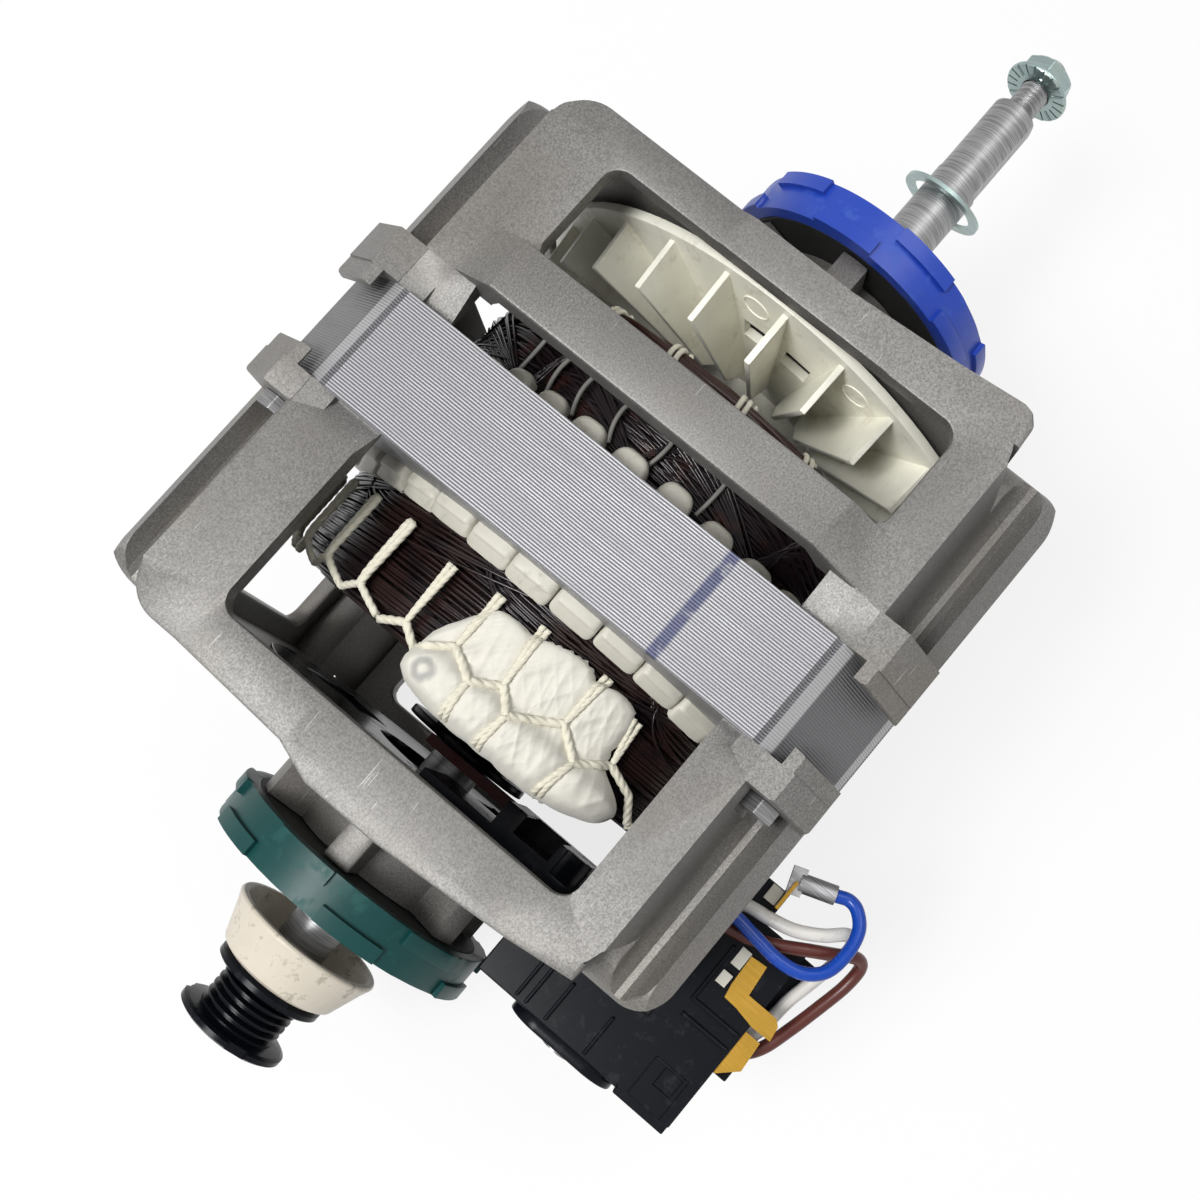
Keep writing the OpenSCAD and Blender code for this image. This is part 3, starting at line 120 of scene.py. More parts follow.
class Socket:
    """One output of a node. Arithmetic on it adds Math nodes to its material."""

    def __init__(self, shade: "Shade", link: bpy.types.NodeSocket) -> None:
        """Keeps the material that the output belongs to, and the output."""
        self.shade = shade
        self.link = link

    __add__ = operator("ADD")
    __radd__ = operator("ADD", swapped=True)
    __sub__ = operator("SUBTRACT")
    __rsub__ = operator("SUBTRACT", swapped=True)
    __mul__ = operator("MULTIPLY")
    __rmul__ = operator("MULTIPLY", swapped=True)
    __pow__ = operator("POWER")

    def above(self, edge: Number, soft: Number) -> "Socket":
        """A mask that is 0 below the edge and 1 above it.

        Args:
            edge: The value in the middle of the change.
            soft: Half the width of the change.

        Returns:
            The mask, from 0 to 1.
        """
        return self.shade.node(
            "ShaderNodeMapRange",
            {"interpolation_type": "SMOOTHSTEP"},
            {"Value": self, "From Min": edge - soft, "From Max": edge + soft},
        )


Value = Union[Socket, Number]


class Shade:
    """A material as it is built, or the world, with its nodes reached through sockets."""

    def __init__(self, name: str, world: bool = False) -> None:
        """Starts an empty material.

        Args:
            name: The material's name.
            world: Whether it is the look of the world.
        """
        self.world = world
        self.material = (bpy.data.worlds if world else bpy.data.materials).new(name)
        self.material.use_nodes = True
        self.tree = self.material.node_tree
        self.tree.nodes.clear()
        self.place = self.node("ShaderNodeTexCoord", {}, {}, "Generated" if world else "Object")

    def node(
        self,
        kind: str,
        settings: dict[str, Any],
        values: dict[Union[str, int], Any],
        output: Union[str, int] = 0,
    ) -> Socket:
        """Adds any node.

        Args:
            kind: The node's type.
            settings: Its settings, which are set first. "stops" fills a colour ramp.
            values: What each input takes: a socket, a number, or a list of numbers.
            output: The output that is wanted.

        Returns:
            That output.
        """
        made = self.tree.nodes.new(kind)
        for key, value in settings.items():
            if key == "stops":
                ramp = made.color_ramp
                while len(ramp.elements) < len(value):
                    ramp.elements.new(0.5)
                for element, (at, colour) in zip(ramp.elements, value):
                    element.position = at
                    element.color = (*colour, 1.0)
            else:
                setattr(made, key, value)
        for key, value in values.items():
            if isinstance(value, Socket):
                self.tree.links.new(value.link, made.inputs[key])
            else:
                made.inputs[key].default_value = value
        return Socket(self, made.outputs[output])

    def math(self, operation: str, a: Value, b: Value = 0.0) -> Socket:
        """Adds a Math node on one or two values."""
        return self.node("ShaderNodeMath", {"operation": operation}, {0: a, 1: b})

    def mix(self, factor: Value, a: Any, b: Any) -> Socket:
        """Mixes two colours.

        Args:
            factor: 0 gives a, 1 gives b.
            a: The first colour, as three numbers or a socket.
            b: The second colour.

        Returns:
            The mixed colour.
        """
        first, last = (v if isinstance(v, Socket) else (*v, 1.0) for v in (a, b))
        return self.node("ShaderNodeMix", {"data_type": "RGBA"}, {0: factor, 6: first, 7: last}, 2)

    def noise(
        self,
        size: float,
        detail: float = 3.0,
        rough: float = 0.5,
        stretch: Sequence[float] = (1, 1, 1),
    ) -> Socket:
        """Noise with features of about the given size.

        Args:
            size: The size of its largest features, in metres.
            detail: How many finer octaves it has.
            rough: The weight of the finer octaves.
            stretch: How much longer the features are along X, Y and Z.

        Returns:
            A value around 0.5.
        """
        spot = self.node(
            "ShaderNodeMapping",
            {},
            {"Vector": self.place, "Scale": [1.0 / (size * s) for s in stretch]},
        )
        return self.node(
            "ShaderNodeTexNoise",
            {},
            {"Vector": spot, "Scale": 1.0, "Detail": detail, "Roughness": rough},
        )

    def axis(self, name: str) -> Socket:
        """One coordinate of the object, or of the direction in the world: X, Y or Z."""
        return self.node("ShaderNodeSeparateXYZ", {}, {0: self.place}, name)

    def bump(self, height: Socket, depth: float, strength: float = 1.0) -> Socket:
        """A normal that follows a height from 0 to 1, as deep as the given metres."""
        values = {"Height": height, "Distance": depth, "Strength": strength}
        return self.node("ShaderNodeBump", {}, values, "Normal")

    def seen(self, kinds: Sequence[str]) -> Socket:
        """A mask that is 1 for the given kinds of rays, as the Light Path node names them."""
        mask, *others = (self.node("ShaderNodeLightPath", {}, {}, kind) for kind in kinds)
        for other in others:
            mask = self.math("MAXIMUM", mask, other)
        return mask

    def surface(self, **values: Any) -> bpy.types.Material:
        """Finishes the material with one Principled shader.

        Args:
            **values: Its inputs, with underscores for spaces.

        Returns:
            The finished material.
        """
        wired = {key.replace("_", " "): value for key, value in values.items()}
        colour = wired.get("Base Color")
        if isinstance(colour, tuple):
            wired["Base Color"] = (*colour, 1.0)
        self.shown(self.node("ShaderNodeBsdfPrincipled", {}, wired))
        return self.material

    def shown(self, shader: Socket) -> None:
        """Joins a shader to the output."""
        kind = "World" if self.world else "Material"
        out = self.tree.nodes.new("ShaderNodeOutput" + kind)
        self.tree.links.new(shader.link, out.inputs["Surface"])


@dataclass(frozen=True)
class CastMetal:
    """Die-cast aluminium: a sandy grain of light and dark specks, scratches and dull stains."""

    colour: Colour = (0.190, 0.185, 0.176)
    grain: float = 0.00042
    depth: float = 0.00006
    dark: float = 0.58
    light: float = 1.45
    dull: float = 0.78
    warm: Colour = (1.05, 0.88, 0.72)
    scratched: Colour = (0.60, 0.58, 0.55)

    def build(self, name: str) -> bpy.types.Material:
        """Makes the material. The specks are fine noise with its middle values spread apart.

        Args:
            name: The material's name.

        Returns:
            The material.
        """
        s = Shade(name)
        grain = s.noise(self.grain, 5.0, 0.75)
        speck = grain.above(0.50, 0.20)
        cloud = s.noise(0.030, 3.0, 0.55)
        pit = s.noise(0.0030, 2.0).above(0.30, 0.04)
        scratch = s.noise(0.0006, 1.0, 0.5, (16, 1, 1)).above(0.77, 0.02)
        tone = s.mix(speck, scaled(self.colour, self.dark), scaled(self.colour, self.light))
        stain = cloud.above(0.52, 0.12)
        tone = s.mix(stain * 0.35, tone, scaled(self.colour, self.dull))
        warmth = s.noise(0.045, 2.0, 0.5).above(0.56, 0.10)
        tone = s.mix(warmth * 0.22, tone, scaled(self.colour, *self.warm))
        tone = s.mix((1.0 - pit) * 0.30, tone, scaled(self.colour, self.dark))
        tone = s.mix(scratch * 0.35, tone, self.scratched)
        return s.surface(
            Base_Color=tone,
            Metallic=0.5,
            Roughness=0.40 + cloud * 0.14 - scratch * 0.10,
            Normal=s.bump(grain, self.depth, 0.8),
        )


@dataclass(frozen=True)
class Steel:
    """Turned or stamped steel, with fine scratches along one axis and a stain."""

    colour: Colour
    rough: float
    stain: Colour = (0.30, 0.25, 0.20)
    stained: float = 0.15
    streaked: float = 0.25

    def build(self, name: str) -> bpy.types.Material:
        """Makes the material. The scratches and streaks are noise stretched along an axis.

        Args:
            name: The material's name.

        Returns:
            The material.
        """
        s = Shade(name)
        lines = s.noise(0.0004, 2.0, 0.5, (0.25, 6, 6))
        cloud = s.noise(0.006, 4.0, 0.6)
        tone = s.mix(cloud.above(0.60, 0.12) * self.stained, self.colour, self.stain)
        streak = s.noise(0.0035, 2.0, 0.5, (0.06, 3, 3)).above(0.50, 0.10)
        tone = s.mix(streak * self.streaked, tone, scaled(self.colour, 0.45))
        return s.surface(
            Base_Color=tone,
            Metallic=1.0,
            Roughness=self.rough + cloud * 0.15 + lines * 0.1,
            Normal=s.bump(lines, 0.00002, 0.5),
        )


@dataclass(frozen=True)
class Laminations:
    """Edges of stacked sheets: light and dark lines across X, worn patches, a paint stripe, and
    painted shade on the cut corners.
    """

    sheet: float = 0.00062
    gap: Colour = (0.09, 0.09, 0.10)
    crest: Colour = (0.37, 0.37, 0.385)
    wear: Colour = (0.24, 0.23, 0.24)
    bare: Colour = (0.60, 0.60, 0.60)
    shadow: Colour = (0.045, 0.045, 0.05)
    paint: Colour = (0.022, 0.028, 0.085)
    top_z: float = 0.070
    stripe_y: float = -0.0287
    stripe_half: float = 0.0013
    strip_from: float = 0.12695
    cut_from: float = 0.12835

    def build(self, name: str) -> bpy.types.Material:
        """Makes the material. The lines are a sine of X, bent a little by noise.

        The corner strips and cuts lie where |Y| + |Z| is past their limits, and the sloped cut
        faces are painted dark as shade. The stripe is a band in Y on the side that faces up, thin
        where the noise is low.

        Args:
            name: The material's name.

        Returns:
            The material.
        """
        s = Shade(name)
        waver = s.noise(0.03, 2.0)
        turn = (s.axis("X") + waver * 0.0006) * (2 * math.pi / self.sheet)
        line = s.math("SINE", turn) * 0.5 + 0.5
        worn = s.noise(0.006, 4.0, 0.6, (0.3, 2.5, 2.5))
        tone = s.mix(line, self.gap, self.crest)
        tone = s.mix(worn.above(0.60, 0.10) * 0.35, tone, self.wear)
        out = s.math("ABSOLUTE", s.axis("Y")) + s.math("ABSOLUTE", s.axis("Z"))
        tone = s.mix(out.above(self.strip_from, 0.0001) * 0.45, tone, self.bare)
        # Painted shade: the sloped cut faces at the corners are darkened as if they faced away
        # from the light.
        tone = s.mix(out.above(self.cut_from, 0.0001) * 0.70, tone, self.shadow)
        away = s.math("ABSOLUTE", s.axis("Y") - self.stripe_y)
        inside = 1.0 - away.above(self.stripe_half, 0.0005)
        upper = s.axis("Z").above(self.top_z, 0.0005)
        painted = inside * upper * s.noise(0.005, 3.0).above(0.36, 0.10)
        tone = s.mix(painted * 0.82, tone, self.paint)
        return s.surface(
            Base_Color=tone,
            Metallic=0.45,
            Roughness=0.34 + worn * 0.2,
            Normal=s.bump(line, 0.00012, 0.7),
        )


@dataclass(frozen=True)
class Moulded:
    """Moulded plastic, with faint mottling and an optional rubbed or dirty tone."""

    colour: Colour
    rough: float = 0.42
    marks: Colour = (0.5, 0.5, 0.5)
    marked: float = 0.0
    mark_size: float = 0.006
    gloss: float = 0.5

    def build(self, name: str) -> bpy.types.Material:
        """Makes the material. The rubbed spots are where rough noise is high.

        Args:
            name: The material's name.

        Returns:
            The material.
        """
        s = Shade(name)
        mottle = s.noise(0.004, 4.0, 0.6)
        scuff = s.noise(self.mark_size, 5.0, 0.7).above(0.60, 0.06)
        bright = tuple(min(1, c) for c in scaled(self.colour, 1.08))
        tone = s.mix(mottle, scaled(self.colour, 0.90), bright)
        tone = s.mix(scuff * self.marked, tone, self.marks)
        return s.surface(
            Base_Color=tone,
            Specular_IOR_Level=self.gloss,
            Roughness=self.rough + scuff * 0.15,
            Normal=s.bump(mottle, 0.00003, 0.4),
        )


@dataclass(frozen=True)
class Enamel:
    """Enamelled copper wire, nearly black and shiny, with reddish patches."""

    colour: Colour = (0.010, 0.006, 0.007)
    light: Colour = (0.038, 0.014, 0.012)
    reddish: float = 0.62

    def build(self, name: str) -> bpy.types.Material:
        """Makes the material. The patches are where soft noise is high."""
        s = Shade(name)
        cloud = s.noise(0.009, 3.0, 0.6)
        tone = s.mix(cloud.above(self.reddish, 0.08), self.colour, self.light)
        return s.surface(Base_Color=tone, Roughness=0.22, Specular_IOR_Level=0.4)


@dataclass(frozen=True)
class Cloth:
    """Woven cotton, with a fine weave in the bump, a few stains and an optional smudged ring."""

    colour: Colour
    weave: float = 0.0006
    stained: float = 0.25
    stain: Colour = (0.60, 0.55, 0.44)
    smudge: Colour = (0.20, 0.20, 0.21)
    smudge_at: Place = (0.0, 0.0)
    smudge_r: float = 0.0

    def build(self, name: str) -> bpy.types.Material:
        """Makes the material.

        The weave is the product of two sines. The smudge is a ring at a distance from its
        middle that noise bends.

        Args:
            name: The material's name.

        Returns:
            The material.
        """
        s = Shade(name)
        x, y = (s.math("SINE", s.axis(name) * (2 * math.pi / self.weave)) for name in "XY")
        stain = s.noise(0.012, 4.0, 0.6).above(0.64, 0.06)
        tone = s.mix(stain * self.stained, self.colour, self.stain)
        if self.smudge_r:
            dx, dy = s.axis("X") - self.smudge_at[0], s.axis("Y") - self.smudge_at[1]
            away = (dx * dx + dy * dy) ** 0.5 + s.noise(0.003, 2.0) * (self.smudge_r * 0.8)
            ring = away.above(self.smudge_r * 0.8, self.smudge_r * 0.25)
            ring = ring * (1.0 - away.above(self.smudge_r * 1.4, self.smudge_r * 0.25))
            tone = s.mix(ring * 0.6, tone, self.smudge)
        return s.surface(
            Base_Color=tone,
            Roughness=0.85,
            Sheen_Weight=0.2,
            Normal=s.bump(x * y * 0.5 + 0.5, 0.00004, 0.35),
        )


FINISHES: dict[str, Any] = {
    "cast_aluminium": CastMetal(),
    "laminated_steel": Laminations(),
    "steel": Steel((0.40, 0.40, 0.405), 0.30, streaked=0.7),
    "zinc_steel": Steel((0.40, 0.50, 0.49), 0.24, (0.45, 0.50, 0.42), 0.5),
    "bronze": Steel((0.50, 0.36, 0.20), 0.4),
    "brass": Steel((0.36, 0.21, 0.035), 0.22, (0.36, 0.20, 0.05), 0.4),
    "copper_enamel": Enamel(),
    "brown_enamel": Enamel((0.020, 0.010, 0.009), (0.010, 0.006, 0.007), 0.50),
    "ivory_plastic": Moulded((0.93, 0.91, 0.79), 0.38, (0.50, 0.45, 0.34), 0.30),
    "insulator_plastic": Moulded((0.62, 0.60, 0.52), 0.45, (0.36, 0.34, 0.29), 0.35),
    "cream_plastic": Moulded((0.66, 0.60, 0.50), 0.4, (0.20, 0.17, 0.13), 0.55, 0.004),
    "black_plastic": Moulded((0.005, 0.006, 0.009), 0.24, (0.03, 0.03, 0.033), 0.25, gloss=0.10),
    "blue_plastic": Moulded((0.012, 0.052, 0.40), 0.36, (0.06, 0.14, 0.50), 0.30),
    "green_plastic": Moulded((0.004, 0.054, 0.052), 0.38, (0.02, 0.11, 0.10), 0.4, gloss=0.3),
    "red_phenolic": Moulded((0.10, 0.010, 0.012), 0.35, gloss=0.2),
    "nylon": Moulded((0.60, 0.58, 0.50), 0.4),
    "rubber": Moulded((0.012, 0.012, 0.012), 0.6, (0.06, 0.06, 0.06), 0.3),
    "cotton_cord": Cloth((0.68, 0.65, 0.53), 0.0005, 0.3),
    "cotton_cloth": Cloth((0.66, 0.64, 0.57), smudge_at=(-0.0415, 0.003), smudge_r=0.0024),
    "tie_tape": Moulded((0.20, 0.195, 0.18), 0.4),
    "felt": Cloth((0.30, 0.27, 0.22), 0.001, 0.5),
    "blue_wire": Moulded((0.005, 0.055, 0.38), 0.26, gloss=0.35),
    "white_wire": Moulded((0.72, 0.70, 0.66), 0.34, (0.4, 0.36, 0.3), 0.3),
    "brown_wire": Moulded((0.10, 0.026, 0.020), 0.30, gloss=0.35),
    "bundle": Moulded((0.035, 0.014, 0.011), 0.30, gloss=0.35),
}


class Paintbox:
    """Makes each finish once, when it is first asked for."""

    def __init__(self) -> None:
        """Starts with nothing made."""
        self.made: dict[str, bpy.types.Material] = {}

    def get(self, slot: str) -> bpy.types.Material:
        """The material of one of the record's slots."""
        if slot not in self.made:
            self.made[slot] = FINISHES[slot].build(slot)
        return self.made[slot]


PAINT = Paintbox()
RECORD = frame["record"]
SLOT_OF: dict[str, str] = {part["node"]: part["material_slot"] for part in RECORD["subparts"]}
BODY_OF: dict[str, str] = {
    node: body for body, nodes in RECORD["behaviour"]["bodies"].items() for node in nodes
}


def add_object(
    name: str, mesh: bpy.types.Mesh, slot: str, body: str, finish: str = ""
) -> bpy.types.Object:
    """Puts a finished mesh into the scene.

    Args:
        name: The piece's name.
        mesh: Its mesh, in place.
        slot: The material slot it takes its finish from.
        body: The body it rides on.
        finish: Another finish for it, where it differs from its slot's.

    Returns:
        The new object.
    """
    piece = bpy.data.objects.new(name, mesh)
    bpy.context.scene.collection.objects.link(piece)
    mesh.materials.append(PAINT.get(finish or slot))
    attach(piece, body)
    log.info("%s: %d faces on %s", name, len(mesh.polygons), body)
    return piece


def mesh_of(
    name: str, points: np.ndarray, faces: np.ndarray, smooth: bool = True
) -> bpy.types.Mesh:
    """A mesh from arrays of points and of four-cornered faces.

    Args:
        name: The mesh's name.
        points: Points, with X, Y and Z last.
        faces: Faces, as rows of four point numbers.
        smooth: Whether the faces are shaded smooth.

    Returns:
        The mesh.
    """
    mesh = bpy.data.meshes.new(name)
    mesh.vertices.add(points.size // 3)
    mesh.vertices.foreach_set("co", np.ascontiguousarray(points, dtype=np.float32).ravel())
    mesh.loops.add(faces.size)
    mesh.loops.foreach_set("vertex_index", faces.astype(np.int32).ravel())
    mesh.polygons.add(len(faces))
    mesh.polygons.foreach_set("loop_start", np.arange(len(faces), dtype=np.int32) * 4)
    mesh.polygons.foreach_set("use_smooth", np.full(len(faces), smooth))
    mesh.update(calc_edges=True)
    mesh.validate()
    return mesh


def grid_faces(rows: int, columns: int, closed: bool = False, count: int = 1) -> np.ndarray:
    """Faces of grids of points whose rows are rings, numbered ring by ring and grid by grid.

    Args:
        rows: How many rings of points a grid has.
        columns: How many points are in a ring.
        closed: Whether a grid's last ring joins its first.
        count: How many grids there are.

    Returns:
        Rows of four point numbers.
    """
    i, j = np.meshgrid(
        np.arange(rows if closed else rows - 1), np.arange(columns), indexing="ij"
    )
    here, there = i * columns, ((i + 1) % rows) * columns
    ahead = (j + 1) % columns
    one = np.stack([here + j, here + ahead, there + ahead, there + j], axis=-1)
    first = np.arange(count)[:, None, None] * rows * columns
    return (one.reshape(1, -1, 4) + first).reshape(-1, 4)


def about_shaft(x: np.ndarray, r: np.ndarray, a: np.ndarray) -> np.ndarray:
    """Points at X, a distance from the shaft's axis, and an angle about it from +Y to +Z."""
    x, r, a = np.broadcast_arrays(x, r, a)
    return np.stack([x, r * np.cos(a), r * np.sin(a)], axis=-1)


def full_turn(count: int) -> np.ndarray:
    """Angles evenly round a circle, without the last."""
    return np.arange(count) * (2 * math.pi / count)


def run_along(path: np.ndarray) -> np.ndarray:
    """Distance along a path to each of its points."""
    return np.concatenate([[0.0], np.cumsum(np.linalg.norm(np.diff(path, axis=0), axis=1))])


def powered(wave: np.ndarray, power: float) -> np.ndarray:
    """A power of the size of a wave, with the wave's own sign."""
    return np.sign(wave) * np.abs(wave) ** power


def recalculated(mesh: bpy.types.Mesh, fill: bool = False) -> bpy.types.Mesh:
    """Turns all faces of a mesh outwards.

    Args:
        mesh: The mesh, which is changed in place.
        fill: Whether its open ends are closed first.

    Returns:
        The mesh.
    """
    work = bmesh.new()
    work.from_mesh(mesh)
    if fill:
        open_edges = [e for e in work.edges if e.is_boundary]
        bmesh.ops.holes_fill(work, edges=open_edges, sides=0)
    bmesh.ops.recalc_face_normals(work, faces=work.faces)
    work.to_mesh(mesh)
    work.free()
    return mesh


def smooth_route(route: Sequence[Sequence[float]], steps: int) -> np.ndarray:
    """A Catmull-Rom curve through chosen points.

    Each stretch between two points is a cubic with the slope at a point set by its
    two neighbours, as in the part's source.

    Args:
        route: The points, in millimetres.
        steps: Points on each stretch.

    Returns:
        Points in metres.
    """
    p = np.asarray(route, dtype=float) * MM
    p = np.vstack([p[:1], p, p[-1:]])
    t = (np.arange(steps) / steps)[None, :, None]
    a, b, c, d = (p[k : len(p) - 3 + k][:, None, :] for k in range(4))
    curve = 0.5 * (
        2 * b + (c - a) * t + (2 * a - 5 * b + 4 * c - d) * t**2 + (3 * b - a - 3 * c + d) * t**3
    )
    return np.vstack([curve.reshape(-1, 3), p[-1:]])


def tube_points(path: np.ndarray, radius: Radius, sides: int, twist: float = 0.0) -> np.ndarray:
    """Rings of points round a path.

    The first side vector is carried along the path by taking away its part along the
    path's direction, and each ring is radius * (cos * side + sin * other side).

    Args:
        path: Points of the path.
        radius: One radius, or one for each side.
        sides: Points in a ring.
        twist: Turn of the rings in radians for each metre.

    Returns:
        An array of rings, sides and X, Y, Z.
    """
    step = np.gradient(path, axis=0)
    along = step / np.linalg.norm(step, axis=1, keepdims=True)
    side = np.cross(along[0], (0.0, 0.0, 1.0) if abs(along[0][2]) < 0.9 else (1.0, 0.0, 0.0))
    carried = np.empty_like(path)
    for i, direction in enumerate(along):
        side = side - direction * side.dot(direction)
        side = side / np.linalg.norm(side)
        carried[i] = side
    other = np.cross(along, carried)
    turn = full_turn(sides)[None, :] + twist * run_along(path)[:, None]
    return (
        path[:, None, :]
        + (radius * np.cos(turn))[..., None] * carried[:, None, :]
        + (radius * np.sin(turn))[..., None] * other[:, None, :]
    )


def tube(
    name: str, path: np.ndarray, radius: Radius, sides: int, twist: float = 0.0
) -> bpy.types.Mesh:
    """A closed tube along a path, with the same values as tube_points."""
    rings = tube_points(path, radius, sides, twist)
    return recalculated(mesh_of(name, rings, grid_faces(len(path), sides)), fill=True)


def twisted_cord(name: str, path: np.ndarray, radius: float) -> bpy.types.Mesh:
    """A cord of twisted strands: a ring with one lobe for each strand, turned along the path.

    Args:
        name: The mesh's name.
        path: Points of the path, at any distances.
        radius: The cord's radius.

    Returns:
        The mesh, with rings an even distance apart.
    """
    run = run_along(path)
    even = np.linspace(0.0, run[-1], max(2, int(run[-1] / CORD_STEP)))
    path = np.stack([np.interp(even, run, path[:, k]) for k in range(3)], axis=1)
    sides = PLIES * SIDES_OF_A_PLY
    lobes = radius * (0.80 + 0.20 * np.abs(np.cos(PLIES * full_turn(sides) / 2)))
    return tube(name, path, lobes, sides, TWIST / radius)


def sharp_edges(work: bmesh.types.BMesh) -> set[int]:
    """Finds a mesh's sharp outward edges, and marks its curved faces smooth.

    Args:
        work: The mesh.

    Returns:
        The numbers of the edges.
    """
    chosen = set()
    for face in work.faces:
        face.smooth = False
    for edge in work.edges:
        if len(edge.link_faces) != 2:
            continue
        turn = math.degrees(edge.calc_face_angle(0.0))
        if turn > SHARP:
            if edge.is_convex:
                chosen.add(edge.index)
        elif turn > CURVED:
            for face in edge.link_faces:
                face.smooth = True
    return chosen


def bevelled(
    work: bmesh.types.BMesh, chosen: set[int], width: float
) -> tuple[bmesh.types.BMesh, list[Vector]]:
    """A copy of a mesh with some edges rounded.

    Args:
        work: The mesh.
        chosen: The numbers of the edges.
        width: Width of the rounded edges, in metres.

    Returns:
        The copy, and the points where it leaves the mesh's own surface or faces another way.
    """
    surface = BVHTree.FromBMesh(work)
    trial = work.copy()
    trial.edges.ensure_lookup_table()
    bmesh.ops.bevel(
        trial, geom=[trial.edges[n] for n in chosen], offset=width, offset_type="OFFSET",
        segments=2, profile=0.5, affect="EDGES", clamp_overlap=False, loop_slide=False,
    )
    bmesh.ops.triangulate(trial, faces=trial.faces)
    stray = []
    for vertex in trial.verts:
        place, normal, _, away = surface.find_nearest(vertex.co)
        outside = (vertex.co - place).dot(normal)
        if away > width * MOST_INSIDE or outside > width * MOST_OUTSIDE:
            stray.append(vertex.co.copy())
    for face in trial.faces:
        _, normal, _, away = surface.find_nearest(face.calc_center_median())
        turned = face.normal.dot(normal) < LEAST_AGREEMENT
        if face.calc_area() > LEAST_AREA and (away > width * MOST_INSIDE or turned):
            stray.extend(vertex.co.copy() for vertex in face.verts)
    return trial, stray


def softened(node: str, width: float) -> bpy.types.Object:
    """A copy of a CAD node with its outward edges rounded, shown in the node's place.

    Faces of flat areas stay flat, and faces of curved areas are shaded smooth. Where rounding
    would throw a corner off the node's surface, the edges at that corner stay sharp.

    Args:
        node: The CAD node.
        width: Width of the rounded edges, in metres.

    Returns:
        The new object.
    """
    work = bmesh.new()
    work.from_mesh(NODES[node].data)
    bmesh.ops.remove_doubles(work, verts=work.verts, dist=2e-6)
    bmesh.ops.dissolve_limit(
        work, angle_limit=math.radians(0.05), verts=work.verts, edges=work.edges, delimit=set()
    )
    work.edges.index_update()
    work.edges.ensure_lookup_table()
    chosen = sharp_edges(work)
    first = len(chosen)
    for _ in range(ROUNDS):
        trial, stray = bevelled(work, chosen, width)
        if not stray:
            break
        trial.free()
        ends = {vertex for n in chosen for vertex in work.edges[n].verts}
        tree = KDTree(len(ends))
        order = sorted(ends, key=lambda vertex: vertex.index)
        for n, vertex in enumerate(order):
            tree.insert(vertex.co, n)
        tree.balance()
        for point in stray:
            corner = order[tree.find(point)[1]]
            chosen -= {edge.index for edge in corner.link_edges}
    else:
        trial, stray = bevelled(work, chosen, width)
    log.info("%s: %d of %d edges rounded, %d points astray", node, len(chosen), first, len(stray))
    for edge in trial.edges:
        if len(edge.link_faces) == 2:
            even = edge.link_faces[0].smooth == edge.link_faces[1].smooth
            edge.smooth = even and edge.calc_face_angle(0.0) < math.radians(SHARP)
    mesh = bpy.data.meshes.new(node + "_soft")
    trial.to_mesh(mesh)
    trial.free()
    work.free()
    piece = add_object(node + "_soft", mesh, SLOT_OF[node], BODY_OF[node])
    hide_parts(node)
    return piece


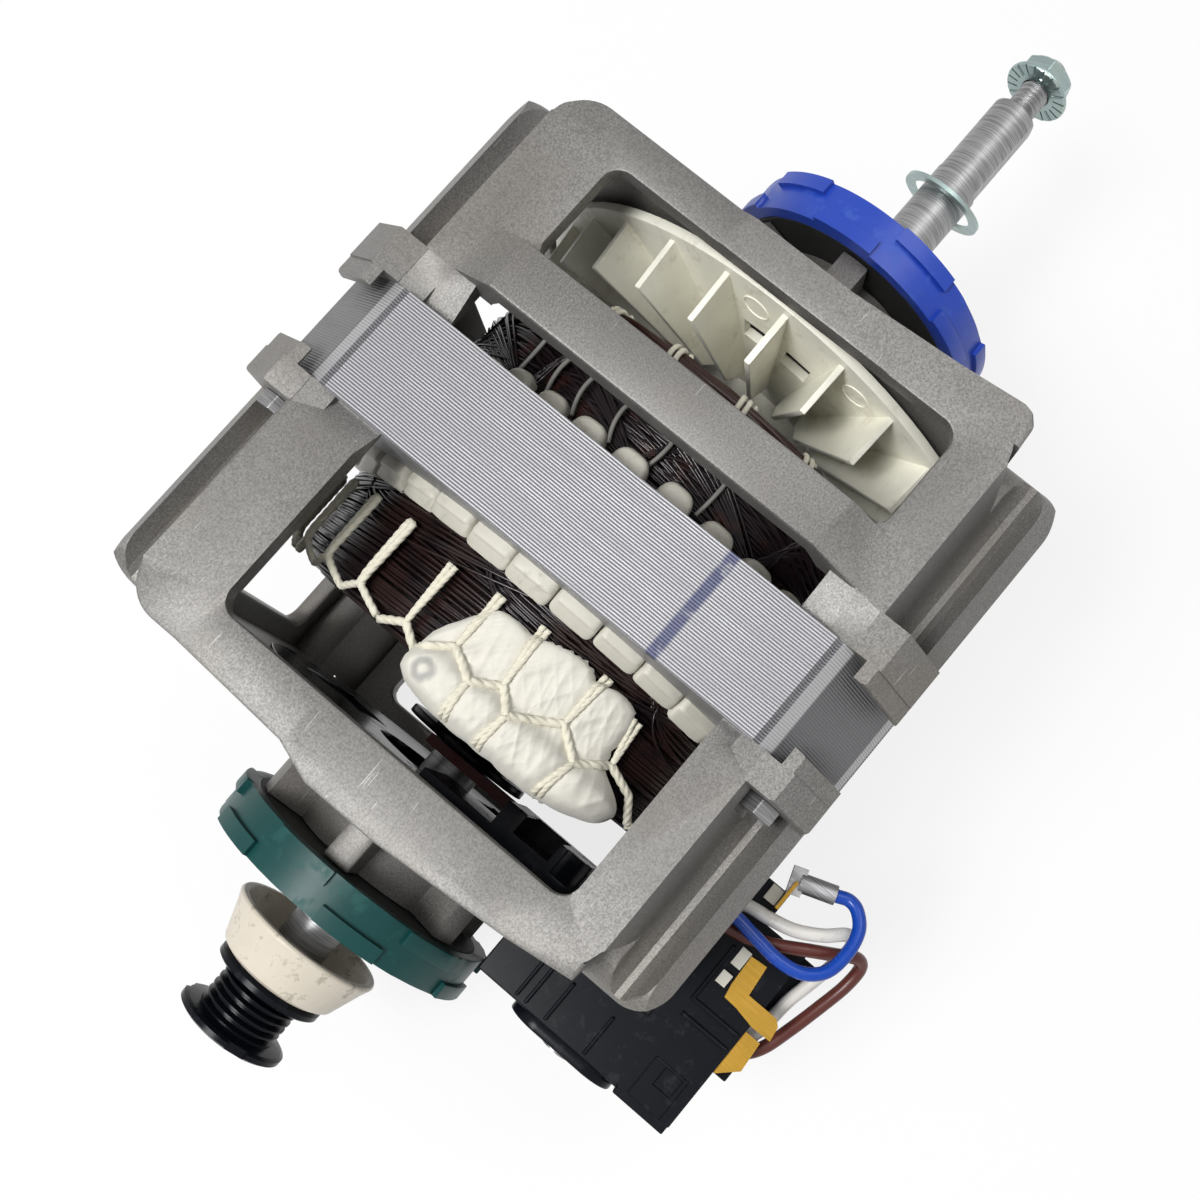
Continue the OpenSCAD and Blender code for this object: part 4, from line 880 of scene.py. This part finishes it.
@dataclass
class Studio:
    """Floor, light and the camera of the photograph.

    Attributes:
        eye: Where the camera stands.
        right: Its direction to the right.
        forward: The direction that it looks in.
        focal_px: Its focal length, in pixels of the photograph.
        centre_px: The middle of its lens in the photograph, from the left and from the top.
        picture_px: Width and height of the photograph.
        sensor: Width of its sensor, in millimetres.
        white: The floor's share of white, where the rays of seen_by meet it.
        sky: Places on Z and tones of the world's light, near the horizon and overhead.
        lamps: Name, place, width and watts of each square lamp. All point at the origin.
    """

    eye: Point = (-0.03646, -0.06099, 0.30391)
    right: Point = (0.64109, -0.76742, -0.00829)
    forward: Point = (0.10613, 0.09934, -0.98938)
    focal_px: float = 1263.2
    centre_px: Place = (690.34, 682.67)
    picture_px: float = 1200.0
    sensor: float = 36.0
    floor_z: float = -0.0725
    floor_half: float = 3.0
    floor_tone: float = 0.88
    white: float = 0.80
    sky_strength: float = 0.45
    sky: tuple[tuple[float, Colour], ...] = (
        (0.02, (0.22, 0.22, 0.23)),
        (0.75, (0.95, 0.95, 0.95)),
    )
    seen_by: tuple[str, ...] = ("Is Camera Ray", "Is Glossy Ray", "Is Transmission Ray")
    lamps: tuple[tuple[str, Point, float, float], ...] = (
        ("key", (-0.42, 0.22, 1.05), 0.4, 11.0),
        ("fill", (0.5, -0.2, 1.0), 0.5, 2.5),
    )

    def camera(self) -> None:
        """Sets up the camera from its place, its directions and its focal length."""
        right, forward = Vector(self.right).normalized(), Vector(self.forward).normalized()
        up = right.cross(forward).normalized()
        turned = Matrix((right, up, -forward)).transposed().to_4x4()
        half = self.picture_px / 2
        data = bpy.data.cameras.new("photo")
        data.sensor_width = self.sensor
        data.lens = self.sensor * self.focal_px / self.picture_px
        data.shift_x = (half - self.centre_px[0]) / self.picture_px
        data.shift_y = (self.centre_px[1] - half) / self.picture_px
        data.clip_start = 0.01
        data.clip_end = 20.0
        camera = bpy.data.objects.new("photo", data)
        camera.matrix_world = Matrix.Translation(self.eye) @ turned
        bpy.context.scene.collection.objects.link(camera)
        bpy.context.scene.camera = camera

    def floor(self) -> None:
        """A wide pale floor that the object lies on. The camera sees it lifted to white."""
        w, z = self.floor_half, self.floor_z
        points = np.array([[-w, -w, z], [w, -w, z], [w, w, z], [-w, w, z]])
        mesh = mesh_of("floor", points, np.array([[0, 1, 2, 3]]), smooth=False)
        floor = bpy.data.objects.new("floor", mesh)
        bpy.context.scene.collection.objects.link(floor)
        s = Shade("floor")
        tone = (self.floor_tone, self.floor_tone, self.floor_tone, 1.0)
        base = s.node("ShaderNodeBsdfPrincipled", {}, {"Base Color": tone, "Roughness": 0.9})
        glow = s.node("ShaderNodeEmission", {}, {})
        share = s.seen(self.seen_by) * self.white
        s.shown(s.node("ShaderNodeMixShader", {}, {0: share, 1: base, 2: glow}))
        mesh.materials.append(s.material)

    def world(self) -> None:
        """Soft light from all round, and an even pale tone for the camera and in gloss."""
        s = Shade("studio", world=True)
        bpy.context.scene.world = s.material
        tone = s.node("ShaderNodeValToRGB", {"stops": self.sky}, {0: s.axis("Z")})
        light = s.node("ShaderNodeBackground", {}, {"Color": tone, "Strength": self.sky_strength})
        pale = s.node("ShaderNodeBackground", {}, {})
        s.shown(s.node("ShaderNodeMixShader", {}, {0: s.seen(self.seen_by), 1: light, 2: pale}))

    def build(self) -> None:
        """Builds the whole stage."""
        self.camera()
        self.floor()
        self.world()
        for name, at, width, watts in self.lamps:
            data = bpy.data.lights.new(name, "AREA")
            data.size = width
            data.energy = watts
            lamp = bpy.data.objects.new(name, data)
            lamp.location = at
            lamp.rotation_euler = (-Vector(at)).to_track_quat("-Z", "Y").to_euler()
            bpy.context.scene.collection.objects.link(lamp)
        bpy.context.scene.view_settings.view_transform = "Standard"
        log.info("stage built")


class PlainNodes:
    """CAD nodes that keep their own mesh and take only a finish."""

    def build(self) -> None:
        """Dresses every CAD node by its material slot."""
        for name, node in NODES.items():
            node.data.materials.clear()
            node.data.materials.append(PAINT.get(SLOT_OF[name]))
            log.info("%s dressed as %s", name, SLOT_OF[name])


@dataclass
class RoundedNodes:
    """CAD nodes whose edges are rounded, with the width for each, in millimetres."""

    widths: dict[str, float]

    def build(self) -> None:
        """Makes the rounded copies."""
        for node, width in self.widths.items():
            softened(node, width * MM)


@dataclass
class EndWinding:
    """End turns of the stator: many strands that lie round the plain core.

    Attributes:
        node: The CAD node that the strands stand for.
        end: The end of the motor that it is on.
        far_x: Distance of the core's far face from the motor's centre.
        near_x: Distance of the outline's end from it, beside the stack.
        corner: Radius of the core's corners.
        mid_lift: Height over the core that the outline's length is worked out for.
        climb: How far a group's first strand climbs the outline, and how much more its last.
        lean: Power that moves the top of an arch towards its start.
        tie_at: Angles of the flat ties, in degrees.
    """

    node: str
    end: End
    far_x: float
    inner_r: float = 0.045
    outer_r: float = 0.060
    corner: float = 0.005
    near_x: float = 0.0140
    mid_lift: float = 0.0014
    strand_r: float = 0.00045
    finish: str = "copper_enamel"
    climb: tuple[float, float] = (0.14, 0.44)
    strands: int = 64
    rings: int = 120
    arch_rings: int = 56
    sides: int = 5
    seed: int = 3
    groups: int = 12
    per_group: int = 16
    lean: float = 0.5
    waves: tuple[int, ...] = (2, 3, 5, 9)
    wander: float = 0.040
    loop_lift: float = 0.0006
    tie_at: tuple[float, ...] = ()
    tie_rings: int = 40

    def outline(self, s: np.ndarray, lift: np.ndarray) -> tuple[np.ndarray, np.ndarray]:
        """Place on the winding's outer surface at a run along its outline.

        The outline goes out over the inner corner, straight along the far face, round
        the outer corner and back along the outside.

        Args:
            s: Run along the outline, from 0 to 1.
            lift: Height over the core.

        Returns:
            X and radius.
        """
        off = self.corner + lift
        bend = 0.5 * math.pi * (self.corner + self.mid_lift)
        flat = self.outer_r - self.inner_r - 2 * self.corner
        back = self.far_x - self.corner - self.near_x
        run = s * (2 * bend + flat + back)
        inner = np.clip(run / bend, 0, 1) * (math.pi / 2)
        along = np.clip(run - bend, 0, flat)
        outer = np.clip((run - bend - flat) / bend, 0, 1) * (math.pi / 2)
        home = np.clip(run - 2 * bend - flat, 0, None)
        x = self.far_x - self.corner + off * np.sin(inner) * np.cos(outer) - home
        r = self.inner_r + self.corner + along
        return x, r + np.where(run > bend, off * np.sin(outer), -off * np.cos(inner))

    def build(self) -> bpy.types.Object:
        """Makes all strands as one mesh.

        A strand is a loop at a run along the outline that wanders by a few slow waves, and
        its height over the core wanders too.

        Returns:
            The new object.
        """
        rng = np.random.default_rng(self.seed)
        k = np.arange(self.strands)[:, None]
        a = full_turn(self.rings)[None, :]
        s = (k + 0.5) / self.strands
        lift = np.full_like(s + a, self.loop_lift)
        drift = np.zeros_like(lift)
        for wave in self.waves:
            turn = rng.uniform(0, 2 * math.pi) + 0.03 * k + rng.normal(0, 0.25, k.shape)
            drift += self.wander / wave * np.sin(wave * a + turn)
            lift += rng.uniform(0, 0.0008 / wave, k.shape) * (
                1 + np.sin(wave * a + rng.uniform(0, 2 * math.pi, k.shape))
            )
        loops = self.strand_mesh(np.clip(s + drift, 0.005, 0.995), lift, a, closed=True)
        arches = self.arches(rng)
        points = np.vstack([loops[0], arches[0]])
        faces = np.vstack([loops[1], arches[1] + len(loops[0])])
        mesh = recalculated(mesh_of(self.node + "_strands", points, faces))
        piece = add_object(self.node + "_strands", mesh, "copper_enamel", ROOT, self.finish)
        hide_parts(self.node)
        self.ties(rng)
        return piece

    def strand_mesh(
        self, s: np.ndarray, lift: np.ndarray, a: np.ndarray, closed: bool
    ) -> tuple[np.ndarray, np.ndarray]:
        """Points and faces of strands that run at given places.

        Args:
            s: Run along the outline, for each strand and ring.
            lift: Height over the core, for each strand and ring.
            a: Angle about the shaft, for each ring, or for each strand and ring.
            closed: Whether a strand is a loop.

        Returns:
            Points and faces.
        """
        x, r = self.outline(s, lift)
        strands, rings = s.shape
        phi = full_turn(self.sides)
        ring_x = self.end.value * (x[..., None] + self.strand_r * np.sin(phi))
        ring_r = r[..., None] + self.strand_r * np.cos(phi)
        turn = np.broadcast_to(a, s.shape)[..., None]
        points = about_shaft(ring_x, ring_r, turn).reshape(-1, 3)
        return points, grid_faces(rings, self.sides, closed, strands)

    def arches(self, rng: np.random.Generator) -> tuple[np.ndarray, np.ndarray]:
        """Coil groups that come out of the slots, lean over the winding and go back.

        A strand of a group starts beside the stack, at the outline's end, climbs to its own
        height on the outline by a power of a sine, and comes back a pole further on.

        Args:
            rng: The source of chance.

        Returns:
            Points and faces.
        """
        t = np.linspace(0, 1, self.arch_rings)[None, :]
        group = np.repeat(np.arange(self.groups), self.per_group)[:, None]
        within = np.tile(np.linspace(0, 1, self.per_group), self.groups)[:, None]
        jitter = rng.normal(0, 0.008, group.shape)
        start = group * (2 * math.pi / self.groups) + (within - 0.5) * 0.07 + jitter
        span = 1.10 - (within - 0.5) * 0.10 + jitter
        climb = self.climb[0] + self.climb[1] * within + rng.normal(0, 0.012, group.shape)
        s = 1.0 - climb * np.sin(math.pi * t**self.lean) ** 0.9
        ripple = 0.0002 * rng.random(group.shape) * np.sin(3 * t + 450 * jitter)
        lift = 0.0013 + 0.0007 * within + ripple
        return self.strand_mesh(np.clip(s, 0.01, 0.998), lift, start + span * t, closed=False)

    def ties(self, rng: np.random.Generator) -> None:
        """Flat ties that pull groups of strands together, each a thin bow over the outside.

        Args:
            rng: The source of chance.
        """
        across = np.linspace(-1, 1, self.tie_rings)
        for number, degrees in enumerate(self.tie_at):
            lift = 0.0026 + 0.0008 * np.sin(np.linspace(0, math.pi, self.tie_rings))
            x, r = self.outline(np.linspace(0.60, 0.95, self.tie_rings), lift)
            a = math.radians(degrees) + rng.normal(0, 0.05) * across**2
            mesh = tube("tie", about_shaft(self.end.value * x, r, a), 0.0005, 8)
            add_object(f"{self.node}_tie_{number}", mesh, "cotton_cord", ROOT, "tie_tape")


@dataclass
class Cuffs:
    """Moulded slot cuffs: round-nosed blocks that stand out of the stack at both ends.

    Attributes:
        reach: How far a block stands out, on the pulley and on the blower side.
        half_width: Half its width, on either side.
        square: Power of its plan on either side: small is square, 1 is round.
        shelf: Share of the reach above the step near its top, on either side.
        step_down: How far the step lies below its top.
        rim: Height of the rounding at its top.
        face: Distance of the stack's face from the motor's centre.
        hidden: How far a block goes into the stack.
        pitch_r: Radius that its width is measured at.
    """

    count: int = 36
    reach: Place = (0.0046, 0.0058)
    half_width: Place = (0.0054, 0.0042)
    square: Place = (0.30, 0.75)
    shelf: Place = (0.58, 1.0)
    step_down: float = 0.0013
    rim: float = 0.0016
    top_r: float = 0.0652
    side_r: float = 0.060
    low_r: float = 0.0535
    pitch_r: float = 0.064
    face: float = 0.0125
    hidden: float = 0.0002
    points: int = 28
    seed: int = 5

    def build(self) -> bpy.types.Object:
        """Makes all blocks as one mesh.

        A block's plan is a superellipse cut by the stack's face, and its section narrows by a
        quarter turn towards the top. Its length and its height vary a little by chance.

        Returns:
            The new object.
        """
        rng = np.random.default_rng(self.seed)
        over = np.linspace(0, math.pi / 2, 6)
        rim = self.top_r - self.rim * (1 - np.sin(over))
        radius = np.concatenate([[self.low_r, self.side_r], rim, [self.top_r]])[:, None]
        scale = np.concatenate([[1.0, 1.0], 0.72 + 0.28 * np.cos(over), [0.02]])[:, None]
        u = full_turn(self.points)
        blocks = []
        for end, reach, half, square, shelf in zip(
            End, self.reach, self.half_width, self.square, self.shelf
        ):
            step = np.where(radius > self.top_r - self.step_down, shelf, 1.0)
            long = reach * (1 + 0.07 * rng.standard_normal((self.count, 1, 1)))
            out = np.clip(long * powered(np.sin(u), square) * scale * step, -self.hidden, None)
            across = half * powered(np.cos(u), square * 0.8) * scale
            r = radius + 0.0006 * rng.standard_normal((self.count, 1, 1)).clip(-1, 1)
            angle = full_turn(self.count)[:, None, None] + across / self.pitch_r
            blocks.append(about_shaft(end.value * (self.face + out), r, angle))
        faces = grid_faces(len(radius), self.points, count=2 * self.count)
        mesh = recalculated(mesh_of("cuffs", np.concatenate(blocks), faces), fill=True)
        piece = add_object("cuffs", mesh, "insulator_plastic", ROOT)
        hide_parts("slot_insulators")
        return piece


@dataclass
class Lacing:
    """Twisted cord that laces the pulley side winding.

    It is a zigzag chain with a double stitch at each node. Lengths are in millimetres.

    Attributes:
        count: How many stitches there are.
        start: Angle of the first stitch, in degrees.
        sweep: Angle from the first stitch to the last, in degrees.
        lift: Distance of the cord from the middle of the winding's corner.
        mid_x: Distance of that middle from the motor's centre, along the shaft.
        mid_r: Distance of that middle from the shaft's axis.
        run: Length of the straight side that a stitch goes back over.
        form: One stitch, as its share of a stitch and its place over the winding. A place up
            to 1 is on the corner's arc, and past 1 on the straight side.
    """

    count: int = 24
    start: float = 134.8
    sweep: float = 296.8
    lift: float = 8.85
    mid_x: float = 34.0
    mid_r: float = 55.0
    run: float = 13.0
    cord_r: float = 0.85
    steps: int = 80
    form: tuple[Place, ...] = (
        (0, 0.545), (0.40, 0.79), (0.38, 1.1), (0.36, 2.0),
        (0.46, 2.0), (0.43, 1.1), (0.42, 0.79),
    )

    def build(self) -> bpy.types.Object:
        """Makes the cord.

        Returns:
            The new object.
        """
        share, place = np.array(self.form + ((1, self.form[0][1]),)).T
        fine = np.linspace(0, len(share) - 1, self.steps, endpoint=False)
        share, place = (np.interp(fine, np.arange(len(share)), v) for v in (share, place))
        stitch = np.arange(self.count)[:, None]
        a = np.radians(self.start + (stitch + share) * self.sweep / self.count).ravel()
        place = np.tile(place, self.count)
        u = np.minimum(place, 1) * (math.pi / 2)
        x = -(self.mid_x + self.lift * np.cos(u) - np.maximum(place - 1, 0) * self.run)
        path = about_shaft(x, self.mid_r + self.lift * np.sin(u), a) * MM
        mesh = twisted_cord("lacing", path, self.cord_r * MM)
        piece = add_object("lacing", mesh, "cotton_cord", ROOT)
        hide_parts("lacing_cord")
        return piece


@dataclass
class LeadBundle:
    """Winding leads that lie together beside the blower side winding, with their ties.

    Attributes:
        first: Angle of the bundle's start, in degrees.
        last: Angle of its end, in degrees.
        x: Distance of its middle from the motor's centre, along the shaft.
        r: Distance of its middle from the shaft's axis.
        apart: Distance of a strand from the bundle's middle.
        tie_at: Angles of the ties, in degrees.
        tie_pitch: How far a tie moves along the bundle in one turn. It takes two.
    """

    first: float = 50.0
    last: float = 130.0
    x: float = 0.0393
    r: float = 0.058
    strands: int = 6
    strand_r: float = 0.00085
    apart: float = 0.00145
    rings: int = 120
    sides: int = 8
    tie_at: tuple[float, ...] = (63.0, 80.0, 97.0, 114.0)
    tie_r: float = 0.0026
    tie_pitch: float = 0.0016

    def build(self) -> bpy.types.Object:
        """Makes the strands, which turn slowly about the bundle's middle, and the ties.

        Returns:
            The bundle.
        """
        t = np.linspace(0, 1, self.rings)[None, :]
        k = np.arange(self.strands)[:, None]
        turn = k * (2 * math.pi / self.strands) + 5.0 * t + 0.5 * np.sin(9 * t + k)
        off = self.apart * (1 + 0.08 * np.sin(17 * t + 2 * k))
        a = np.radians(self.first + (self.last - self.first) * t)
        paths = about_shaft(self.x + off * np.cos(turn), self.r + off * np.sin(turn), a)
        rings = np.stack([tube_points(path, self.strand_r, self.sides) for path in paths])
        faces = grid_faces(self.rings, self.sides, count=self.strands)
        mesh = recalculated(mesh_of("leads_bundled", rings, faces), fill=True)
        piece = add_object("leads_bundled", mesh, "brown_wire", ROOT, "bundle")
        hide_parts("lead_bundle")
        phi = np.linspace(0, 4 * math.pi, 60)
        x, r = self.x + self.tie_r * np.cos(phi), self.r + self.tie_r * np.sin(phi)
        for number, degrees in enumerate(self.tie_at):
            a = math.radians(degrees) + self.tie_pitch / self.r * phi / (2 * math.pi)
            mesh = tube("tie", about_shaft(x, r, a), 0.0006, 8)
            add_object(f"bundle_tie_{number}", mesh, "cotton_cord", ROOT)
        return piece


@dataclass
class Protector:
    """Cloth-wrapped thermal protector, laced down on the pulley side winding.

    Its lengths are in millimetres.

    Attributes:
        middle: The point that the rows of the cloth run out from.
        base_r: Distance of the cloth's underside from the shaft's axis.
        thin: Height of the pad over it.
        roll: How much higher the roll along the far side is.
        roll_x: Where the middle of the roll lies.
        fray: How far the edge on the stack's side strays.
        outline: Its edge as X and Y.
        chain: Nodes of the lacing along its middle.
        stitches: Cords that leave the chain for either side.
    """

    middle: Place = (-34.0, -17.0)
    base_r: float = 63.3
    thin: float = 2.3
    roll: float = 3.4
    roll_x: float = -41.5
    fray: float = 0.36
    rows: int = 84
    columns: int = 240
    seed: int = 11
    cord_lift: float = 0.55
    chain_r: float = 0.95
    stitch_r: float = 0.7
    outline: tuple[Place, ...] = (
        (-43.9, 8.5), (-41.8, 9.1), (-37.9, 8.3), (-35.0, 8.1), (-31.5, 6.4), (-29.1, 4.7),
        (-26.1, 2.9), (-23.4, 0.8), (-22.8, -2.3), (-23.2, -6.4), (-22.6, -9.3), (-21.3, -12.3),
        (-20.5, -15.3), (-20.3, -18.3), (-20.6, -20.4), (-22.0, -22.0), (-21.5, -24.0),
        (-20.6, -26.0), (-20.4, -27.4), (-20.6, -29.9), (-21.4, -31.9), (-24.2, -33.0),
        (-27.1, -32.9), (-30.7, -33.0), (-34.3, -34.2), (-36.2, -38.0), (-39.0, -41.5),
        (-43.2, -39.5), (-45.1, -35.1), (-46.6, -29.1), (-47.2, -22.7), (-46.9, -16.9),
        (-47.0, -11.0), (-47.1, -5.0), (-46.6, 1.1), (-45.6, 5.9),
    )
    chain: tuple[Place, ...] = (
        (-39.8, 19.4), (-36.9, 13.7), (-40.1, 9.1), (-34.3, 2.0), (-37.9, -4.9), (-34.2, -9.9),
        (-38.2, -14.5), (-32.3, -23.1), (-37.0, -29.3), (-32.4, -34.5), (-34.8, -40.7),
        (-39.3, -43.6),
    )
    stitches: tuple[tuple[Place, Place], ...] = (
        ((-36.9, 13.7), (-22.4, 13.9)),
        ((-34.3, 2.0), (-21.0, 2.2)),
        ((-34.2, -9.9), (-20.3, -8.5)),
        ((-32.3, -23.1), (-19.7, -23.6)),
        ((-32.4, -34.5), (-22.4, -32.9)),
        ((-37.9, -4.9), (-46.6, -5.2)),
        ((-38.2, -14.5), (-46.4, -13.4)),
        ((-37.0, -29.3), (-46.6, -27.5)),
    )

    def reach(self, angle: np.ndarray) -> np.ndarray:
        """Distance from the middle to the edge, in any direction."""
        away = np.array(self.outline) - self.middle
        at = np.arctan2(away[:, 1], away[:, 0])
        order = np.argsort(at)
        return np.interp(angle, at[order], np.hypot(*away.T)[order], period=2 * math.pi)

    def share(self, x: np.ndarray, y: np.ndarray) -> np.ndarray:
        """How far out a point is: 0 in the middle, 1 on the edge."""
        dx, dy = x - self.middle[0], y - self.middle[1]
        return np.hypot(dx, dy) / self.reach(np.arctan2(dy, dx))

    def pulled(self, x: np.ndarray, y: np.ndarray) -> np.ndarray:
        """How much the cords press the cloth at a point.

        Args:
            x: Its place along X.
            y: Its place along Y.

        Returns:
            1 under a cord, falling as a bell curve of the distance from it to 0.
        """
        ends = list(zip(self.chain[1:], self.chain[2:])) + list(self.stitches)
        press = np.zeros_like(x)
        for (ax, ay), (bx, by) in ends:
            length = math.hypot(bx - ax, by - ay)
            t = np.clip(((x - ax) * (bx - ax) + (y - ay) * (by - ay)) / length**2, 0, 1)
            gap = np.hypot(x - ax - t * (bx - ax), y - ay - t * (by - ay))
            press = np.maximum(press, np.exp(-((gap / 1.15) ** 2)))
        return press

    def wrinkles(self, x: np.ndarray, y: np.ndarray) -> np.ndarray:
        """Height of the creases of the cloth, which run from the cords to the stack's side.

        Each is one minus the size of a sine, squared, of a place mostly along Y, bent by a
        slower sine, and it fades where another slow sine is low.

        Args:
            x: The place along X.
            y: The place along Y.

        Returns:
            The height, which is never below 0.
        """
        rng = np.random.default_rng(self.seed)
        total = np.zeros_like(x)
        for size in np.geomspace(9.0, 1.8, 10):
            lean = rng.normal(0.30, 0.45)
            along = x * math.sin(lean) + y * math.cos(lean)
            across = x * math.cos(lean) - y * math.sin(lean)
            bend = 0.9 * np.sin(across / (1.6 * size) + rng.uniform(0, 6))
            slow = np.sin(across / (2.5 * size) + rng.uniform(0, 6))
            fade = 0.5 + 0.5 * slow * np.cos(along / 9 + rng.uniform(0, 6))
            crest = (1 - np.abs(np.sin(math.pi * along / size + bend))) ** 2
            total += 0.105 * size**0.7 * fade * crest
        return total

    def radius(self, x: np.ndarray, y: np.ndarray) -> np.ndarray:
        """Distance of the cloth from the shaft axis over a point, in millimetres.

        The cloth is a thin pad with a fat roll along its far side. It falls to the winding at
        its edge and under the cords.

        Args:
            x: The place along X.
            y: The place along Y.

        Returns:
            The distance.
        """
        fall = np.clip(1 - np.clip(self.share(x, y), 0, 1) ** 10, 0, 1) ** 0.5
        roll = self.roll * np.exp(-(((x - self.roll_x) / 5.0) ** 4))
        high = self.thin + roll + self.wrinkles(x, y) - (0.8 + 0.12 * roll) * self.pulled(x, y)
        return self.base_r + fall * high

    @staticmethod
    def placed(x: np.ndarray, y: np.ndarray, r: np.ndarray) -> np.ndarray:
        """Points in metres that lie at X and Y at a distance from the shaft axis."""
        return np.stack([x, y, np.sqrt(r**2 - y**2)], axis=-1) * MM

    def build(self) -> bpy.types.Object:
        """Makes the cloth, as a top and an underside in one grid, and the cords over it.

        Returns:
            The cloth.
        """
        out = np.concatenate([np.linspace(0.01, 1, self.rows) ** 0.8, [0.99, 0.6, 0.01]])
        under = np.arange(len(out)) >= self.rows
        rho, phi = np.meshgrid(out, full_turn(self.columns) - math.pi, indexing="ij")
        away = self.reach(phi)
        for _ in range(2):
            away = (np.roll(away, 1, axis=1) + away + np.roll(away, -1, axis=1)) / 3
        rng = np.random.default_rng(self.seed + 1)
        rough = rng.standard_normal((1, self.columns)).clip(-1.5, 1.5)
        rough = rough + 0.7 * (np.roll(rough, 1, axis=1) + np.roll(rough, -1, axis=1))
        away = away + 0.5 * self.fray * rough * np.clip(2 * np.cos(phi), 0, 1)
        x = self.middle[0] + rho * away * np.cos(phi)
        y = self.middle[1] + rho * away * np.sin(phi)
        r = np.where(under[:, None], self.base_r - 0.1, self.radius(x, y))
        faces = grid_faces(len(out), self.columns)
        mesh = mesh_of("protector_cloth", self.placed(x, y, r), faces)
        piece = add_object("protector_cloth", recalculated(mesh, fill=True), "cotton_cloth", ROOT)
        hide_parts("thermal_protector")
        self.cords()
        return piece

    def over(self, x: np.ndarray, y: np.ndarray, lift: float) -> np.ndarray:
        """A path laid over the cloth, or over the bare winding outside the cloth's edge.

        Args:
            x: Its places along X.
            y: Its places along Y.
            lift: Its height over what carries it.

        Returns:
            Points in metres.
        """
        bare = 55.0 + np.sqrt(np.clip(8.2**2 - np.clip(-34.0 - x, 0, None) ** 2, 0, None))
        inside = np.clip((1.02 - self.share(x, y)) / 0.10, 0, 1)
        r = bare + inside * (np.maximum(self.radius(x, y), bare) - bare)
        return self.placed(x, y, r + lift)

    def cords(self) -> None:
        """The lacing over the cloth: the chain, and pairs of cords from its nodes outwards."""
        lines = [("net_chain", self.chain, self.chain_r)]
        for number, (start, (bx, by)) in enumerate(self.stitches):
            for pair, shift in enumerate((-0.66, 0.66)):
                lines.append((f"net_{number}_{pair}", (start, (bx, by + shift)), self.stitch_r))
        for name, nodes, radius in lines:
            t = np.linspace(0, len(nodes) - 1, 40 * (len(nodes) - 1) + 1)
            line = [np.interp(t, np.arange(len(nodes)), side) for side in zip(*nodes)]
            mesh = twisted_cord(name, self.over(*line, self.cord_lift), radius * MM)
            add_object(name, mesh, "cotton_cord", ROOT)


@dataclass
class Leads:
    """Insulated leads, along the same listed points as the part's source."""

    radius: float = 0.0016
    sides: int = 16
    steps: int = 10
    routes: tuple[tuple[str, tuple[Point, ...]], ...] = (
        ("blue_lead", (
            (-43.4, -53, 18), (-45.8, -56.5, 18), (-45.2, -62, 17.8), (-41.6, -69, 17.5),
            (-39.8, -73, 17.5), (-40.4, -80, 17.5), (-41, -87, 17.5), (-39.8, -93, 17.5),
            (-36, -97, 17.3), (-30, -98, 17), (-24.6, -97, 16.4), (-21.4, -94.2, 15.6),
            (-20.6, -91.4, 15), (-21.6, -88.6, 15), (-22.6, -85.8, 15),
        )),
        ("white_lead", (
            (-43.4, -54, 8.5), (-46, -57.5, 8.6), (-44.5, -63, 9.2), (-39.8, -69, 11.6),
            (-36.4, -74, 14.4), (-35.2, -80, 15.2), (-33.6, -86, 16), (-30.4, -91.6, 15.6),
            (-27, -95.6, 12.8), (-26.4, -98.2, 8.6), (-29.4, -99.4, 5), (-34.6, -98.8, 3),
            (-40.6, -97.6, 2.2), (-47, -96.2, 2.2), (-53, -95.6, 2.4), (-57.2, -95, 2.8),
            (-58.4, -92.6, 3), (-58.4, -90.8, 3),
        )),
        ("brown_lead", (
            (-43.4, -53.6, 13.5), (-46.4, -57, 13.5), (-46.5, -62, 13.4), (-45, -69, 13.6),
            (-43, -73.5, 13.9), (-41.6, -79, 14), (-38.8, -85, 14.3), (-35, -91.4, 13.9),
            (-31.8, -97, 11.8), (-29.4, -101.2, 9), (-30.4, -103.8, 5.8), (-36, -104, 3.8),
            (-44, -102.4, 3), (-52, -100.4, 3), (-58.4, -98.4, 3.2), (-62.2, -95.8, 3.2),
            (-63, -92.6, 3.2), (-63, -90.8, 3.2),
        )),
    )

    def build(self) -> None:
        """Makes each lead as a smooth tube in its CAD node's place."""
        for node, route in self.routes:
            path = smooth_route(route, self.steps)
            mesh = tube(node + "_smooth", path, self.radius, self.sides)
            piece = add_object(node + "_smooth", mesh, SLOT_OF[node], ROOT)
            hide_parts(node)


def main() -> None:
    """Builds the stage and every piece, in order."""
    logging.basicConfig(level=logging.INFO, format="%(message)s")
    Studio().build()
    Leads().build()
    PlainNodes().build()
    RoundedNodes(
        {
            "blower_end_bracket": 0.7,
            "pulley_end_bracket": 0.7,
            "blower_mount_ring": 0.3,
            "pulley_mount_ring": 0.3,
            "blower_mount_rubber": 0.4,
            "pulley_mount_rubber": 0.4,
            "switch_housing": 0.35,
            "switch_cover": 0.4,
            "cooling_fan": 0.25,
            "flange_nut": 0.25,
            "through_bolts": 0.25,
            "switch_plate": 0.3,
            "governor_collar": 0.3,
            "pulley_collar": 0.3,
        }
    ).build()
    EndWinding("winding_turns_blower", End.BLOWER, 0.034, tie_at=(58, 66, 73, 82, 93, 105)).build()
    EndWinding(
        "winding_turns_pulley", End.PULLEY, 0.039, strands=92, seed=8, finish="brown_enamel",
        strand_r=0.00040, climb=(0.04, 0.20), groups=9, per_group=9,
    ).build()
    Cuffs().build()
    Lacing().build()
    LeadBundle().build()
    Protector().build()


if __name__ == "__main__":
    main()
